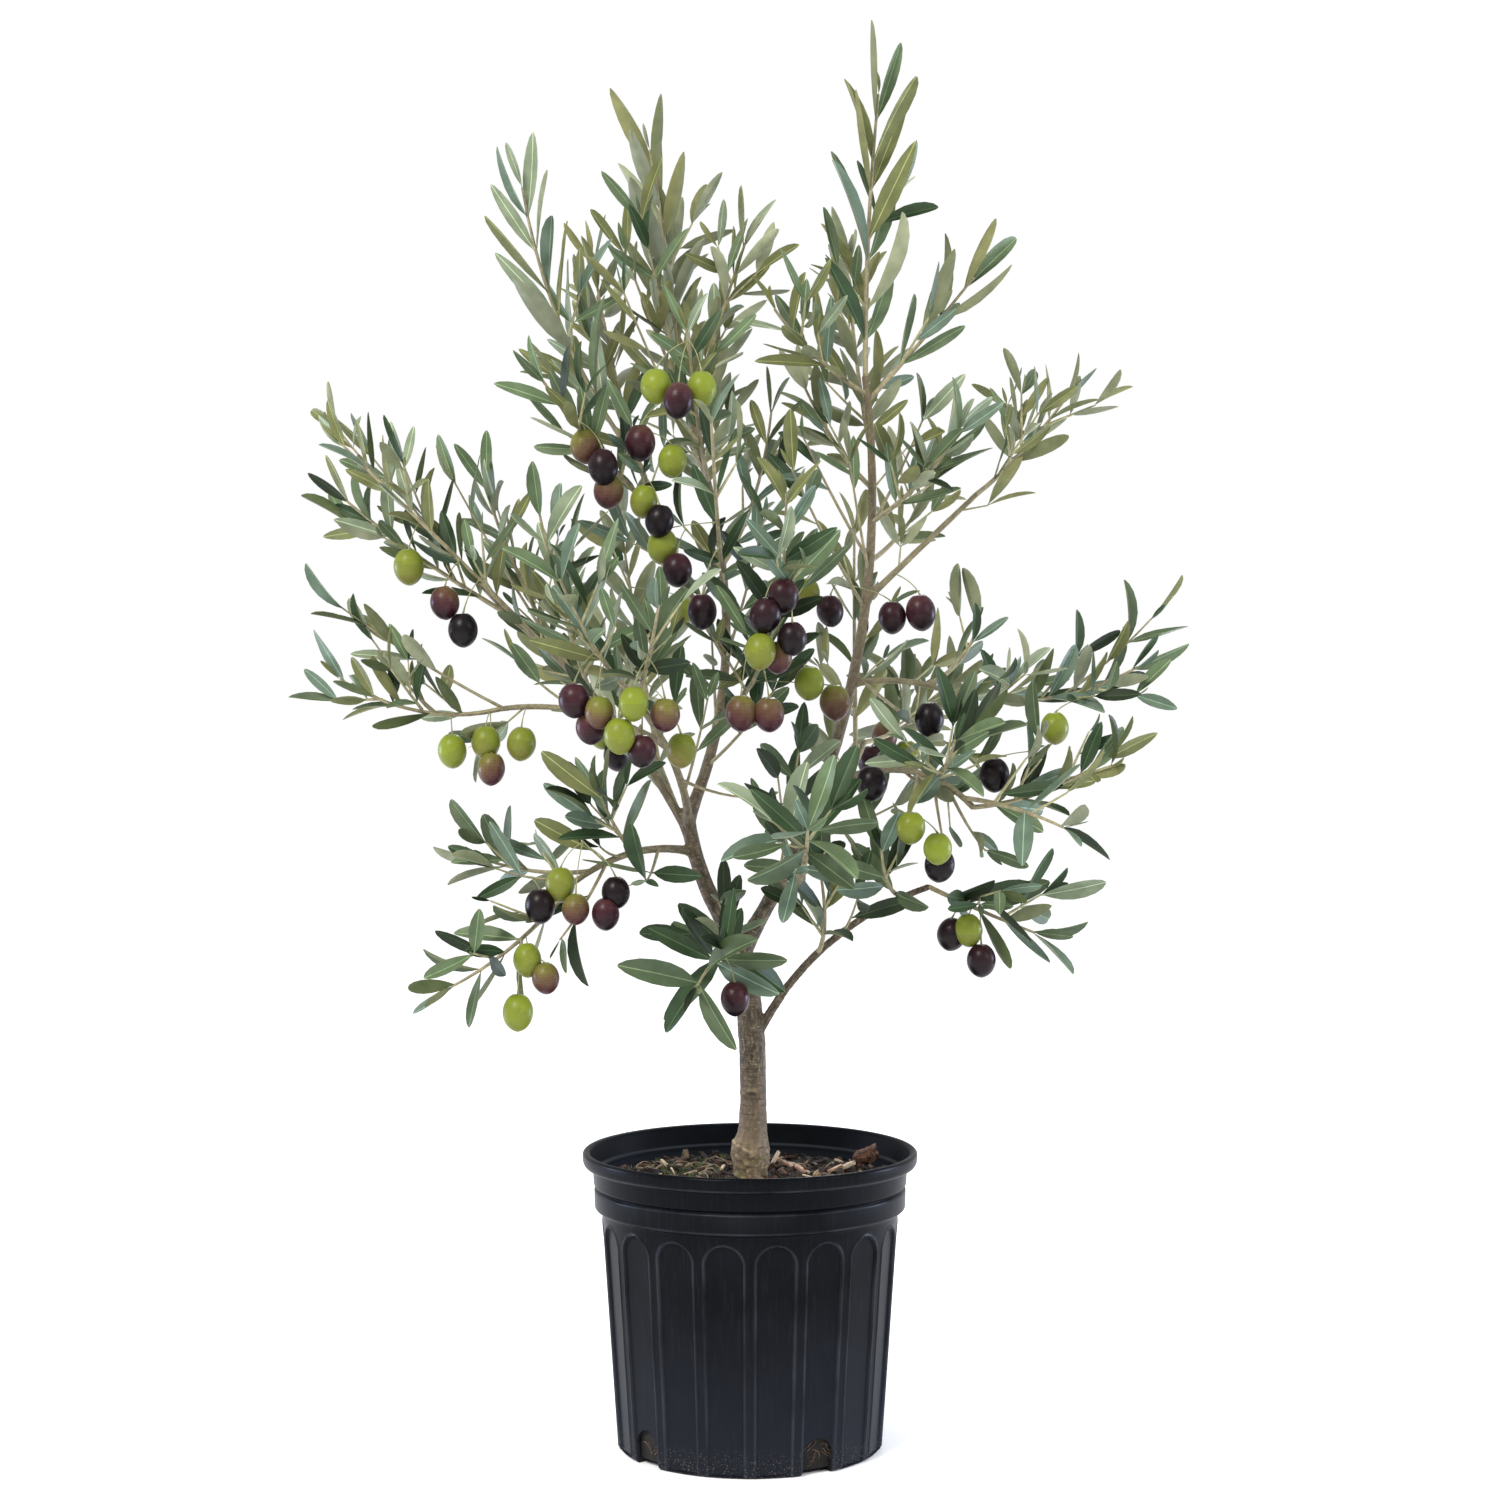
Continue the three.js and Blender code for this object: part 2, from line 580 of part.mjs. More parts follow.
// Side shoots by the seeded rule: a turn of the golden angle each, shorter towards the tip
function growShoots(row, stem, random, fits) {
  const shoots = [];
  const firstTurn = random() * Math.PI * 2;
  for (let i = 0; i < row.shoots; i += 1) {
    const at = THREE.MathUtils.lerp(FIRST_SHOOT, LAST_SHOOT, (i + 0.5) / row.shoots);
    const start = axisPoint(stem.curve, stem.steps, at);
    const length = row.reach * (1 - SHOOT_TAPER * at) * (0.75 + 0.25 * random());
    for (let attempt = 0; attempt < SHOOT_TRIES; attempt += 1) {
      const turn = firstTurn + degrees(SHOOT_TURN * i + SHOOT_RETRY * attempt);
      const direction = offshoot(stem.curve, at, turn, degrees(SHOOT_OPENING), SHOOT_LIFT);
      const tip = start.clone().addScaledVector(direction, length);
      const curve = bowedCurve(start, tip, new THREE.Vector3());
      if (samples(curve, 4).slice(1).every(fits)) {
        shoots.push({ curve, steps: SHOOT_STEPS, radii: SHOOT_RADII, tipLeaves: 1 });
        break;
      }
    }
  }
  return shoots;
}

// Leaf pairs up a twig, a quarter turn apart, and one or two leaves at its tip
function growLeaves(twig, leaves, random, fits) {
  const { curve, steps, tipLeaves } = twig;
  const nodes = Math.max(1, Math.round(curve.v0.distanceTo(curve.v2) / LEAF_STEP));
  const firstTurn = random() * Math.PI;
  const tryLeaf = (share, turn, opening, size) => {
    for (let attempt = 0; attempt < LEAF_TRIES; attempt += 1) {
      const spread = turn + (random() - 0.5) * (0.4 + 0.6 * attempt);
      const length = LEAF_LENGTH * size * (0.85 + 0.25 * random()) * (1 - 0.12 * attempt);
      const direction = offshoot(curve, share, spread, opening, LEAF_LIFT);
      const root = axisPoint(curve, steps, share).addScaledVector(direction, LEAF_ROOT);
      const face = bladeFace(root, curve.getTangent(share), random);
      const points = leafPoints(root, direction, face, length);
      if (leafProbes(points).every(fits) && clearOfLeaves(points, leaves)) {
        leaves.push(points);
        return;
      }
    }
  };
  for (let node = 0; node < nodes; node += 1) {
    const share = (node + 0.55) / (nodes + 0.4);
    const opening = degrees(mix(LEAF_OPENING, share));
    const turn = firstTurn + node * Math.PI / 2;
    tryLeaf(share, turn, opening, 1);
    tryLeaf(share, turn + Math.PI, opening, 1);
  }
  for (let i = 0; i < tipLeaves; i += 1) {
    const turn = firstTurn + nodes * Math.PI / 2 + i * Math.PI;
    tryLeaf(0.97, turn, degrees(TIP_OPENING), TIP_SIZE);
  }
}

// An olive and its stalk, hung from the nearest point of the mass's twigs that is above it
function oliveSolids(place, twigs) {
  const hook = place.clone().addScaledVector(UP, OLIVE_LENGTH * 0.75);
  const nearness = (point) => point.distanceTo(hook);
  const points = twigs.flatMap(({ curve, steps }) => (
    Array.from({ length: 12 }, (_, i) => axisPoint(curve, steps, (i + 0.5) / 12))
  ));
  const above = points.filter((point) => point.z > hook.z - OLIVE_RADIUS / 3);
  if (above.length === 0) return [];
  const root = above.reduce((best, point) => (nearness(point) < nearness(best) ? point : best));
  const end = place.clone().addScaledVector(UP, OLIVE_LENGTH * 0.3);
  const stalk = bowedCurve(root, end, new THREE.Vector3());
  const olive = new THREE.SphereGeometry(1, 6, 3);
  olive.rotateX(Math.PI / 2);
  olive.scale(OLIVE_RADIUS, OLIVE_RADIUS, OLIVE_LENGTH / 2);
  olive.translate(place.x, place.y, place.z);
  return [solidOf(olive), tubeSolid(stalk, () => STALK_RADIUS, TWIG_SIDES, 1)];
}

function twigSolid({ curve, steps, radii }) {
  return tubeSolid(curve, (share) => mix(radii, share), TWIG_SIDES, steps);
}

// One mass: stem, side shoots, leaves and olives fused into a single solid
function massSolid(row, index, stems, paths, limbs) {
  const random = seededRandom(1000 + 37 * index);
  const fits = (point) => (
    clearOfPot(point) && clearOfLimbs(point, limbs) && inOwnSpace(point, index, paths)
  );
  const stem = { curve: stems[index], steps: STEM_STEPS, radii: STEM_RADII, tipLeaves: row.shoots - 1 };
  const twigs = [stem, ...growShoots(row, stem, random, fits)];
  const leaves = [];
  twigs.forEach((twig) => growLeaves(twig, leaves, random, fits));
  const olives = OLIVES.filter(([mass]) => mass === row.name);
  const solids = [
    ...twigs.map(twigSolid),
    ...leaves.map(leafSolid),
    ...olives.flatMap(([, place]) => oliveSolids(vector(place), twigs)),
  ];
  return wholePiece(cutClear(wasm.Manifold.union(solids), limbs));
}

const tree = new THREE.Group();
tree.add(meshOf('pot', potSolid(), 'pot'));
tree.add(meshOf('soil', soilSolid(), 'soil'));

const limbs = growLimbs();
for (const limb of limbs) {
  limb.path = samples(limb.curve, 12);
  tree.add(meshOf(limb.name, limb.solid, 'bark'));
}

const stems = MASSES.map((row) => {
  const parent = limbs.find((limb) => limb.name === row.from);
  return bowedCurve(startOn(parent, row.at), vector(row.tip), vector(row.bow));
});
const paths = stems.map((stem) => samples(stem, 8));
MASSES.forEach((row, index) => {
  tree.add(meshOf(row.name, massSolid(row, index, stems, paths, limbs), 'leaf'));
});

export default tree;
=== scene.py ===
# Young olive tree in a black nursery pot: the finish of every surface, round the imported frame.
# Metres, +Z up, front towards -Y. The plant's growth is worked out in millimetres, as in the part's source.
import math
import random
from contextlib import contextmanager

import bpy
import numpy as np
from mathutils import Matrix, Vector, noise


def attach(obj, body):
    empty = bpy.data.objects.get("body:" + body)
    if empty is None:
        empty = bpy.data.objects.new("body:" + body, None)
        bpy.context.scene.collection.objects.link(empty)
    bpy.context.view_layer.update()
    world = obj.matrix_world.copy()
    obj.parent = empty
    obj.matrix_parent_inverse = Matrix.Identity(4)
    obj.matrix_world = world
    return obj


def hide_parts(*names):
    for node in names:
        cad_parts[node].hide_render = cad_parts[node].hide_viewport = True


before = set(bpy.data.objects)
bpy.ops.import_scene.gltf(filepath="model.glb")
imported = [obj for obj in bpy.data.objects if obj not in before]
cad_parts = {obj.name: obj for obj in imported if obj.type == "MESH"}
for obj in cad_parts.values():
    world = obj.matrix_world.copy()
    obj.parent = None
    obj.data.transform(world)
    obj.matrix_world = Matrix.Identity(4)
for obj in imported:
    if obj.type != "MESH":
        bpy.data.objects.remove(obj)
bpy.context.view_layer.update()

MM = 0.001
UP = np.array([0.0, 0.0, 1.0])

# Camera: where the photograph was taken from, a little above the middle of the plant
CAMERA_PLACE = (0, -2.6634, 0.7063)
CAMERA_PITCH = 2.62
CAMERA_LENS = 76.84

# Pot, as in the part's source
POT_HEIGHT = 250
RIM_RADIUS = 140
LIP_WIDTH = 6
LIP_HEIGHT = 12.5
BAND_RADIUS = 131
BAND_HEIGHT = 16.5
BAND_FOOT = 202
GROOVE_DEPTH = 3
GROOVE_HEIGHT = 3.5
BODY_TOP_RADIUS = 124
BASE_RADIUS = 110.5
WALL = 4
SEAT_DEPTH = 18
TAPER_STEP = 6
POT_TURNS = 720
FLUTE_COUNT = 18
FLUTE_TOP = 192
FLUTE_SUNK = 1.4
FLUTE_SHARE = 0.78
HALF_PANEL = FLUTE_SHARE * math.pi / FLUTE_COUNT
FLUTE_EDGE = 1.8
BEAD_HEIGHT = 0.8
BEAD_WIDTH = 1.2
EDGE_WIDTH = 0.9
# Moulded texture, leaf wax and fruit bloom hold the shine back to these levels, where 0.5 is polished
POT_SHEEN = 0.026
LEAF_SHEEN = 0.3
OLIVE_SHEEN = 0.2
WAX_IOR = 1.45
DRAIN_TURNS = [-50, 30, 130, -150]
DRAIN_WIDTH = 28
DRAIN_HEIGHT = 30
SOIL_TOP = 226
SOIL_FALL = 2.5
SOIL_LUMPS = {"size": 26, "height": 2.6}
SOIL_CRUMBS = {"size": 4.5, "height": 1.1}

# Limbs and masses, as in the part's source
GAP = 0.3
TRUNK_TOP = [-8, 0, 420]
TRUNK_BOW = [6, 0, 8]
TRUNK_RADII = [
    [0, 17.5],
    [0.06, 15.6],
    [0.14, 15],
    [0.2, 12.6],
    [0.32, 11],
    [0.5, 11.2],
    [0.62, 11.6],
    [0.8, 10.4],
    [1, 9.6],
]

# Bark over the trunk's lower end, where the old graft swells it: share of its height, and radius
BARK_RADII = [
    [0, 14],
    [0.03, 14.3],
    [0.075, 15.6],
    [0.11, 15],
    [0.15, 13.4],
    [0.2, 11.9],
    [0.32, 11],
    [0.5, 11.2],
    [0.62, 11.4],
    [0.8, 10.2],
    [1, 9.4],
]
BOUGH_TAPER = 0.6
YOUNG_RADII = [4.1, 2.8]
BROWN_LIMBS = ["trunk", "bough_lower_right", "bough_centre", "bough_right"]

# Knot and old graft on the trunk's front: place and half size across and up, and the graft's V
KNOT_PLACE = (1.5, 298)
KNOT_SIZE = (6, 3.2)
GRAFT_HEIGHT = 249
GRAFT_SLOPE = 0.62
SWELLING_HEIGHT = 253

# Collar at a bough's root, how far the relief carries out from the trunk's foot, and the skin's grid
COLLAR_SWELL = 0.35
COLLAR_REACH = 8
RELIEF_FADE = 420
BARK_VOXEL = 1.25

# Boughs, in order: name, parent, share of the parent's length where it starts, tip, how far its
# middle bows, radius at root and tip, and the share of its own length that is bare of leaves
BOUGHS = [
    ["bough_left", "trunk", 1, [-52, -10, 530], [-7, 0, -2], [7.6, 6.2], 1],
    ["bough_right", "trunk", 0.985, [96, 15, 896], [42, 10, -13], [7.4, 3.2], 0.42],
    ["bough_centre", "bough_left", 0.99, [-60, 38, 893], [36, 0, -18], [5.6, 2.8], 0.4],
    ["bough_left_top", "bough_centre", 0.42, [-90, -20, 820], [-3, -6, -10], [3.6, 2.6], 0.15],
    ["bough_front_left", "bough_left", 0.93, [-100, -110, 640], [12, -12, 0], [4, 2.7], 0.5],
    ["bough_upper_left", "bough_left", 0.84, [-202, -40, 700], [10, 8, 8], [4.2, 2.7], 0.35],
    ["bough_mid_left", "bough_front_left", 0.6, [-205, -50, 620], [0, 10, 12], [3, 2.4], 0.2],
    ["bough_lower_left", "bough_left", 0.74, [-145, -60, 478], [0, -4, 13], [4, 2.6], 0.45],
    ["bough_back_left", "bough_left", 0.6, [-88, 116, 590], [4, 12, -12], [4, 2.7], 0.4],
    ["bough_lower_right", "trunk", 0.53, [148, -40, 474], [-14, 0, 16], [4.4, 2.7], 0.8],
    ["bough_front_centre", "bough_right", 0.13, [44, -140, 510], [4, -6, -12], [3.8, 2.6], 0.35],
    ["bough_back_right", "bough_right", 0.24, [100, 130, 586], [0, 12, -16], [4, 2.7], 0.4],
    ["bough_front_right", "bough_right", 0.3, [180, -95, 542], [6, -4, 24], [3.8, 2.6], 0.3],
    ["bough_side_right", "bough_right", 0.49, [168, 10, 632], [0, 0, 6], [3.2, 2.5], 0.2],
    ["bough_right_long", "bough_right", 0.635, [190, 25, 798], [0, 0, 0], [3.2, 2.4], 0.15],
]

# Masses of foliage, in order: name, the limb that carries it, share of that limb's length
# where its stem starts, tip and bow of the stem, side shoots, the longest shoot and its leaves' length
MASSES = [
    ["leaves_leader_top", "bough_right", 1, [106, 0, 1126], [-3, 0, 0], 3, 62, 76],
    ["leaves_leader_left", "bough_right", 0.97, [20, -30, 947], [-4, 0, -4], 2, 58, 56],
    ["leaves_leader_right", "bough_right", 0.96, [188, 40, 980], [0, 0, -2], 2, 70, 66],
    ["leaves_leader_back", "bough_right", 0.88, [84, 130, 1000], [0, 14, -14], 2, 60, 58],
    ["leaves_right_mid", "bough_right", 0.765, [170, -62, 846], [2, -8, -6], 2, 60, 56],
    ["leaves_right_inner", "bough_right", 0.82, [46, 42, 888], [0, 6, -8], 2, 50, 52],
    ["leaves_right_long", "bough_right_long", 1, [268, 40, 882], [0, 0, -6], 3, 78, 52],
    ["leaves_right_back", "bough_right", 0.7, [166, 160, 820], [0, 16, -10], 2, 70, 50],
    ["leaves_side_right_tip", "bough_side_right", 1, [318, -36, 654], [0, 0, -16], 3, 74, 52],
    ["leaves_side_right_up", "bough_side_right", 0.75, [192, 30, 690], [6, 0, -6], 2, 50, 50],
    ["leaves_front_right_tip", "bough_front_right", 1, [288, -110, 584], [0, 0, -8], 2, 74, 54],
    ["leaves_front_right_low", "bough_front_right", 0.92, [244, -175, 532], [0, -8, 4], 2, 60, 56],
    ["leaves_front_right_up", "bough_front_right", 0.7, [160, -165, 600], [0, -8, -8], 2, 62, 60],
    ["leaves_lower_right_tip", "bough_lower_right", 1, [232, -60, 438], [0, 0, -1], 2, 70, 60],
    ["leaves_lower_right_up", "bough_lower_right", 0.47, [58, -52, 484], [4, -8, -6], 2, 50, 66],
    ["leaves_lower_right_in", "bough_lower_right", 0.9, [106, -92, 508], [-4, -8, -10], 2, 50, 64],
    ["leaves_front_centre", "bough_front_centre", 1, [44, -228, 534], [0, 0, -4], 2, 60, 70],
    ["leaves_trunk_front", "trunk", 0.95, [-42, -122, 402], [0, -6, 12], 2, 50, 74],
    ["leaves_front_upper", "bough_centre", 0.26, [28, -190, 790], [14, -10, -26], 3, 70, 56],
    ["leaves_front_upper_left", "bough_centre", 0.52, [-30, -190, 850], [0, -20, -14], 2, 60, 54],
    ["leaves_centre_top", "bough_centre", 1, [-84, 40, 1086], [3, 0, 0], 3, 70, 74],
    ["leaves_centre_top_right", "bough_centre", 0.93, [-4, 0, 1004], [-2, -4, -4], 2, 60, 60],
    ["leaves_centre_back", "bough_centre", 0.78, [-56, 160, 950], [0, 14, -14], 2, 62, 56],
    ["leaves_centre_front", "bough_centre", 0.8, [-50, -104, 925], [0, -16, -10], 2, 60, 54],
    ["leaves_centre_right", "bough_centre", 0.62, [18, 20, 868], [6, 0, -8], 2, 52, 54],
    ["leaves_left_top", "bough_left_top", 1, [-184, -60, 1042], [-14, 0, -6], 3, 52, 70],
    ["leaves_left_top_back", "bough_left_top", 0.93, [-134, 70, 1000], [-2, 8, -10], 3, 66, 58],
    ["leaves_left_top_front", "bough_left_top", 0.8, [-166, -108, 885], [0, -10, -6], 2, 62, 54],
    ["leaves_upper_left_tip", "bough_upper_left", 1, [-334, -20, 792], [0, 0, -4], 3, 66, 50],
    ["leaves_upper_left_high", "bough_upper_left", 0.82, [-330, -84, 836], [4, -10, -2], 2, 64, 48],
    ["leaves_upper_left_up", "bough_upper_left", 0.7, [-222, 14, 806], [-4, 8, -6], 2, 56, 50],
    ["leaves_upper_left_mid", "bough_upper_left", 0.6, [-168, -110, 780], [0, -12, -10], 2, 60, 54],
    ["leaves_front_left", "bough_front_left", 1, [-146, -205, 725], [0, -6, -8], 2, 66, 58],
    ["leaves_front_left_up", "bough_front_left", 0.9, [-70, -205, 705], [0, -8, -8], 2, 66, 56],
    ["leaves_mid_left_tip", "bough_mid_left", 1, [-332, -70, 645], [0, 0, -14], 3, 70, 50],
    ["leaves_lower_left_tip", "bough_lower_left", 1, [-240, -95, 398], [4, 0, -6], 2, 64, 56],
    ["leaves_lower_left_up", "bough_lower_left", 0.85, [-226, -30, 498], [0, 0, -6], 2, 58, 52],
    ["leaves_lower_left_in", "bough_lower_left", 0.5, [-120, -95, 552], [0, -8, -4], 2, 54, 64],
    ["leaves_back_left", "bough_back_left", 1, [-168, 222, 652], [0, 6, -12], 3, 80, 56],
    ["leaves_back_left_up", "bough_back_left", 0.85, [-114, 148, 780], [0, 14, -8], 3, 80, 52],
    ["leaves_back_right", "bough_back_right", 1, [186, 232, 640], [0, 6, -12], 3, 80, 52],
    ["leaves_back_right_up", "bough_back_right", 0.85, [92, 168, 772], [0, 14, -8], 3, 80, 50],
]

MASS_NAMES = [row[0] for row in MASSES]

# The tall leaders, whose leaf pairs stand furthest apart
LEADERS = ["leaves_leader_top", "leaves_leader_right", "leaves_centre_top", "leaves_left_top"]

# Masses whose leaf pairs stand well apart
SPARSE = [
    "leaves_front_right_low",
    "leaves_side_right_up",
    "leaves_front_upper_left",
    "leaves_right_back",
    "leaves_back_right_up",
]
SPARSE_LEAF_STEP = 38

# Low inner masses, whose broad leaves stand thickest
LAVISH = [
    "leaves_trunk_front",
    "leaves_lower_left_in",
    "leaves_lower_right_up",
    "leaves_front_centre",
    "leaves_lower_right_tip",
    "leaves_front_right_up",
]

# Sprays placed one by one: the limb or stem that carries each, share of its length, tip and leaf length
SPRAYS = [
    ["trunk", 0.97, [-26, -75, 466], 60],
    ["bough_lower_left", 0.3, [-84, -85, 482], 62],
    ["bough_lower_left", 0.55, [-122, -60, 508], 58],
    ["bough_lower_left", 0.95, [-208, -72, 492], 50],
    ["bough_lower_right", 0.6, [87, -75, 467], 54],
    ["bough_front_right", 0.5, [162, -55, 550], 56],
    ["bough_front_right", 0.8, [190, -88, 507], 52],
    ["bough_right", 0.2, [142, -22, 552], 54],
    ["bough_upper_left", 0.72, [-244, -25, 808], 50],
    ["bough_upper_left", 0.97, [-314, -15, 830], 50],
    ["bough_mid_left", 0.5, [-190, -60, 660], 46],
    ["bough_front_centre", 0.35, [22, -110, 570], 50],
    ["bough_front_left", 0.35, [8, -60, 548], 50],
    ["bough_centre", 0.95, [-90, -10, 1026], 58],
    ["bough_centre", 0.8, [-104, -50, 962], 54],
    ["bough_left_top", 0.9, [-132, 16, 926], 54],
    ["bough_right", 0.76, [142, -30, 858], 54],
    ["bough_right", 0.62, [34, -40, 816], 54],
    ["bough_centre", 0.4, [12, -74, 776], 54],
    ["bough_mid_left", 0.97, [-332, -68, 704], 50],
    ["leaves_mid_left_tip", 0.4, [-307, -60, 677], 48],
    ["bough_right", 0.68, [82, -20, 823], 56],
    ["leaves_side_right_tip", 0.6, [330, -30, 694], 50],
    ["bough_centre", 0.24, [-31, -60, 677], 54],
    ["bough_centre", 0.14, [20, -50, 636], 54],
    ["bough_front_right", 0.6, [146, -75, 564], 56],
    ["bough_front_right", 0.7, [157, -95, 508], 56],
    ["bough_lower_left", 0.72, [-153, -95, 436], 56],
    ["bough_front_centre", 0.6, [10, -95, 545], 56],
    ["leaves_upper_left_tip", 0.3, [-284, -40, 822], 50],
    ["bough_front_left", 0.25, [-34, -80, 630], 54],
    ["bough_right", 0.12, [40, -60, 588], 54],
    ["bough_side_right", 0.12, [176, -66, 584], 56],
    ["bough_front_right", 0.6, [126, -100, 538], 54],
    ["bough_centre", 0.97, [-104, 6, 998], 54],
    ["bough_right", 0.7, [44, -30, 842], 54],
    ["leaves_upper_left_high", 0.6, [-340, -30, 852], 48],
]

# Side shoots by the source's rule, and the finer growth that only shows here
STEM_RADII = [2.3, 1.1]
SHOOT_RADII = [1.4, 0.8]
SPRAY_RADII = [1.6, 0.8]
FINE_RADII = [1.0, 0.65]
SHOOT_TURN = 137.5
SHOOT_OPENING = 48
SHOOT_LIFT = 0.35
SHOOT_TAPER = 0.45
SHOOT_TRIES = 4
SHOOT_RETRY = 50
FIRST_SHOOT = 0.12
LAST_SHOOT = 0.86
EXTRA_STEP = 70
SHOOT_ROOM = 9
SPUR_STEP = 48
SPUR_LENGTH = [22, 52]
FINE_FROM = 52
FINE_LENGTH = [22, 34]
TWIG_BOW = 0.05

# Leaves: opposite pairs, each pair a quarter turn from the last, with a small pair at the tip
SPUR_LEAF_LENGTH = 50
LEAF_STEP = 23
LEADER_LEAF_STEP = 30
SHOOT_LEAF_SHARE = 0.92
FINE_LEAF_SHARE = 0.8
LEAF_OPENING = [56, 34]
LEADER_LEAF_OPENING = [36, 22]
LEADER_SLIMNESS = 0.86
LEADER_CALM = 0.45
LEADER_SHOOTS_TO = 0.55
LEADER_LEAF_GROWTH = 1.15
LAST_PAIR = 0.97
LEADER_LAST_PAIR = 0.9
LEAF_LIFT = [0.08, 0.7]
LOW_CROWN = [430, 680]
FRONT_OPENING = 34
LEAF_TRIES = 3
LEAF_ROOM = 5
MOST_LEAVES = 6000
LEAF_HEIGHTS = [500, 960]
LOW_LEAF_WIDTHS = [0.23, 0.3]
HIGH_LEAF_WIDTHS = [0.17, 0.225]
TIP_OPENING = 20
BUD_SIZE = 0.4
CROWN_CORE = 60
FACE_OUT = 0.5
FACE_FRONT = 0.42
FACE_UP = 0.3
FACE_ALONG = 0.35
FACE_STRAY = 1.6

# Room kept round a leaf or twig: to the next mass, to a limb and to the pot
SPACE_MARGIN = 4
LOOSE_MARGIN = -7
LIMB_ROOM = 1.2
POT_ROOM = 12
STEM_STRETCHES = 8
LIMB_STRETCHES = 12

# Olives by cluster: place of the middle in millimetres, and ripeness from 0, green, to 1, black
OLIVE_RADIUS = 12
OLIVE_LENGTH = 29
STALK_RISE = 8
STALK_RADII = [0.7, 0.5, 0.45, 0.45, 0.45, 0.5, 0.6, 1.0]
OLIVES = [
    [[-74, -135, 877], 0.04],
    [[-56, -150, 865], 0.68],
    [[-38, -135, 875], 0.02],
    [[-132, -90, 832], 0.3],
    [[-117, -105, 815], 0.8],
    [[-113, -97, 796], 0.38],
    [[-88, -90, 835], 0.64],
    [[-62, -100, 820], 0.06],
    [[-85, -95, 788], 0.12],
    [[-72, -110, 772], 0.98],
    [[-70, -100, 752], 0.05],
    [[-58, -110, 733], 0.76],
    [[-38, -120, 700], 0.82],
    [[-276, -70, 736], 0.1],
    [[-246, -80, 707], 0.6],
    [[-231, -85, 685], 1],
    [[-137, -170, 631], 0.78],
    [[-117, -178, 622], 0.34],
    [[-124, -163, 610], 0.58],
    [[-90, -190, 629], 0.04],
    [[-101, -185, 604], 0.06],
    [[-66, -180, 620], 0.46],
    [[-84, -180, 592], 0.76],
    [[-54, -150, 591], 0.14],
    [[-241, -75, 587], 0.05],
    [[-214, -72, 594], 0.1],
    [[-209, -80, 573], 0.4],
    [[-185, -75, 593], 0.1],
    [[-153, -90, 480], 0.08],
    [[-169, -95, 463], 0.92],
    [[-140, -100, 461], 0.38],
    [[-116, -100, 457], 0.72],
    [[-108, -95, 474], 0.94],
    [[-179, -100, 420], 0.06],
    [[-164, -105, 406], 0.46],
    [[-186, -110, 379], 0.02],
    [[-12, -110, 390], 0.74],
    [[26, -160, 712], 0.76],
    [[12, -164, 697], 0.84],
    [[33, -165, 679], 0.86],
    [[8, -165, 669], 0.08],
    [[22, -150, 664], 0.4],
    [[-7, -140, 620], 0.44],
    [[15, -140, 619], 0.52],
    [[48, -70, 642], 0.08],
    [[69, -60, 626], 0.3],
    [[116, -50, 695], 0.84],
    [[139, -55, 699], 0.72],
    [[248, -60, 605], 0.1],
    [[98, -90, 562], 0.95],
    [[128, -120, 528], 0.06],
    [[149, -128, 512], 0.02],
    [[152, -104, 497], 0.94],
    [[177, -80, 442], 0.06],
    [[164, -72, 438], 0.9],
    [[187, -85, 418], 0.86],
    [[146, -60, 612], 0.97],
    [[196, -100, 569], 0.96],
    [[-60, 150, 700], 0.1],
    [[-84, 156, 684], 0.7],
    [[-132, 190, 590], 0.05],
    [[-118, 184, 571], 0.9],
    [[120, 190, 588], 0.42],
    [[140, 200, 570], 0.08],
    [[108, 178, 566], 0.84],
    [[70, 140, 700], 0.76],
    [[50, 146, 716], 0.12],
]

# Wood on the soil: place, rise, length in millimetres, turn and tilt in degrees, tone
LITTER = [
    [21, 40, 9, 15, 20, -60, 0],
    [26, 44, 7, 12, -30, 35, 0],
    [31, 40, 5, 17, -12, 24, 1],
    [40, 34, 4, 15, 10, 22, 0],
    [36, 22, 4, 13, -20, 30, 1],
    [45, 16, 3, 18, -35, 20, 1],
    [24, 18, 3, 12, 40, -15, 2],
    [30, 12, 2, 14, -50, 25, 2],
    [80, 30, 5, 20, 15, -20, 0],
    [72, 22, 4, 15, 30, -16, 1],
    [-24, 30, 3, 10, 60, -30, 0],
    [-60, 62, 5, 14, 20, -25, 2],
    [-72, 44, 4, 12, -40, 30, 0],
    [-88, 40, 3, 14, 10, 10, 2],
    [-50, 12, 3, 12, 30, -10, 1],
    [10, 60, 5, 13, 0, 30, 2],
]

# Middles of the dry stems that stand out, left of the trunk
DRY_STEMS = [(-32, 22), (-36, 8), (-58, 40), (-78, 52), (-86, 24)]

# Loose things on the soil, in millimetres: how many, how far out they lie and how long they are
KEEP_OFF_TRUNK = 19
CHIPS_PER_SHAPE = 230
CHIP_REACH = 121
CHIP_LENGTHS = (3, 9)
STRAW_COUNT = 58
STRAW_REACH = 112
STRAW_LENGTHS = (5, 20)
MOSS_COUNT = 90
MOSS_MIDDLE = (-58, 36)
MOSS_SPREAD = (20, 26)
MOSS_REACH = (22, 116)
MOSS_HEIGHTS = (3, 8)
DRY_STEM_COUNT = 12
DRY_STEM_REACH = 104
DRY_STEM_LENGTHS = (12, 30)
LUMP_PLACE = (99, 40, 237)
LUMP_SIZE = (21, 17, 12)
LUMP_TILT = 0.42
ROOTS_PER_HOLE = 9

# Ripening scale of the fruit, from green through brown and purple to black
RIPENESS = [
    "#717e27", "#686e2b", "#66602f", "#5b4932", "#50382b",
    "#432628", "#33181f", "#251117", "#160c10", "#0e090c",
]
SKIN_STEPS = 19

